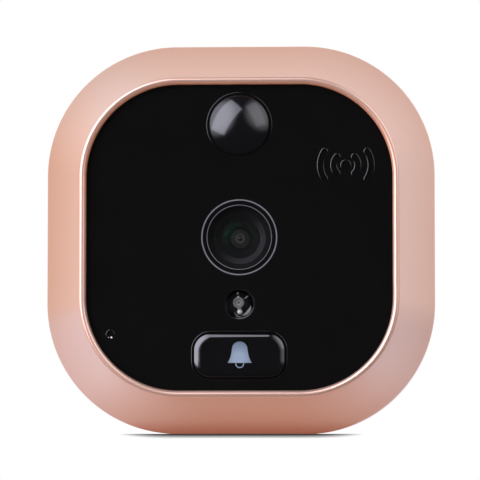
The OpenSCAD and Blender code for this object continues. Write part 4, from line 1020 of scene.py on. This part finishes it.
def buildFloor(s):
    # Floor that is level under the unit and falls away in front of it
    y = np.array([-s.floorFront, s.floorFold, s.floorBack])
    z = s.floorZ - np.maximum(s.floorFold - y, 0) * math.tan(math.radians(s.floorFall))
    x = np.array([-s.floorHalf, s.floorHalf])[:, None]
    points = spread(x, -y, z)
    surface = sheet(points, along=False)
    mesh = bpy.data.meshes.new("studioFloor")
    mesh.from_pydata(points.reshape(-1, 3) * metre, [], quads(surface).tolist())
    floor = bpy.data.objects.new("studioFloor", mesh)
    bpy.context.scene.collection.objects.link(floor)
    mesh.materials.append(whitePaper(s, named(mirrored)))


def spot(add, way, azimuth, elevation, outer, inner, bright=1.0):
    # Round spot in the surround that rises smoothly from nothing at its outer reach
    near = add("VectorMath", {0: way, 1: facing(azimuth, elevation)}, operation="DOT_PRODUCT")
    rim, core = (math.cos(math.radians(reach)) for reach in (outer, inner))
    return add("MapRange", {"Value": near, 1: rim, 2: core, 4: bright}, interpolation_type="SMOOTHSTEP")


def buildWorld(s, w):
    # White to the eye. For light and reflections: white behind and beside the unit, dim in front, with a
    # warm wall and round glows
    world = bpy.data.worlds.new("studioSurround")
    bpy.context.scene.world = world
    add = startTree(world)
    way = add("TexCoord").outputs["Generated"]
    split = add("SeparateXYZ", {0: way}).outputs
    level = add("MapRange", {"Value": split["Y"], 1: w.frontSpan[0], 2: w.frontSpan[1], 3: s.room,
                             4: s.behind}, interpolation_type="SMOOTHSTEP")
    side = add("MapRange", {"Value": split["X"], 1: w.sideSpan[0], 2: w.sideSpan[1]})
    tone = add("Mix", {0: side, 6: w.plain, 7: w.cool}, data_type="RGBA")
    above = add("MapRange", {"Value": split["Z"], 1: w.wallFoot[0], 2: w.wallFoot[1]})
    warmth = add("Math", {0: spot(add, way, *w.wall), 1: above}, operation="MULTIPLY")
    tone = add("Mix", {0: warmth, 6: tone, 7: w.warm}, data_type="RGBA")
    total = add("Background", {"Color": tone, "Strength": level})
    for *where, colour in glows.values():
        halo = add("Background", {"Color": colour, "Strength": spot(add, way, *where)})
        total = add("AddShader", {0: total, 1: halo})
    white = add("Background", {"Color": (1.0, 1.0, 1.0, 1.0), "Strength": 1.0})
    eye = add("LightPath").outputs["Is Camera Ray"]
    mix = add("MixShader", {0: eye, 1: total, 2: white})
    add("OutputWorld", {"Surface": mix})


def buildLamps():
    # Soft boxes that face the unit, each as strong as its size asks
    for name, (azimuth, elevation, distance, w, h, roll, bright, colour) in lamps.items():
        way = facing(azimuth, elevation)
        lamp = bpy.data.lights.new(name, "AREA")
        lamp.shape = "RECTANGLE"
        lamp.size, lamp.size_y = w * metre, h * metre
        lamp.color = linear(colour)[:3]
        lamp.energy = bright * math.pi * w * h * metre ** 2
        box = bpy.data.objects.new(name, lamp)
        bpy.context.scene.collection.objects.link(box)
        box.location = way * distance * metre
        box.rotation_mode = "QUATERNION"
        box.rotation_quaternion = way.to_track_quat("Z", "Y") @ Quaternion((0, 0, 1), math.radians(roll))


# Camera: a little to the right of the unit and below it, as in the photograph
view = {"azimuth": 2.51, "elevation": -3.72, "distance": 600.0, "aim": (-0.14, -10.0, -0.08),
        "pixelsPerMm": 5.705, "frame": 480, "sensor": 36.0}


def buildCamera(v):
    # The lens gives this many pixels for a millimetre at the aim
    way = facing(v.azimuth, v.elevation)
    lensData = bpy.data.cameras.new("photoCamera")
    lensData.sensor_width = v.sensor
    lensData.lens = v.pixelsPerMm * v.distance * v.sensor / v.frame
    lensData.clip_start, lensData.clip_end = 0.01, 20
    camera = bpy.data.objects.new("photoCamera", lensData)
    bpy.context.scene.collection.objects.link(camera)
    camera.location = (Vector(v.aim) + way * v.distance) * metre
    camera.rotation_mode = "QUATERNION"
    camera.rotation_quaternion = way.to_track_quat("Z", "Y")
    bpy.context.scene.camera = camera


buildFloor(named(studio))
buildWorld(named(studio), named(surround))
buildLamps()
buildCamera(named(view))
bpy.context.scene.view_settings.view_transform = "Standard"
print("studio ready")
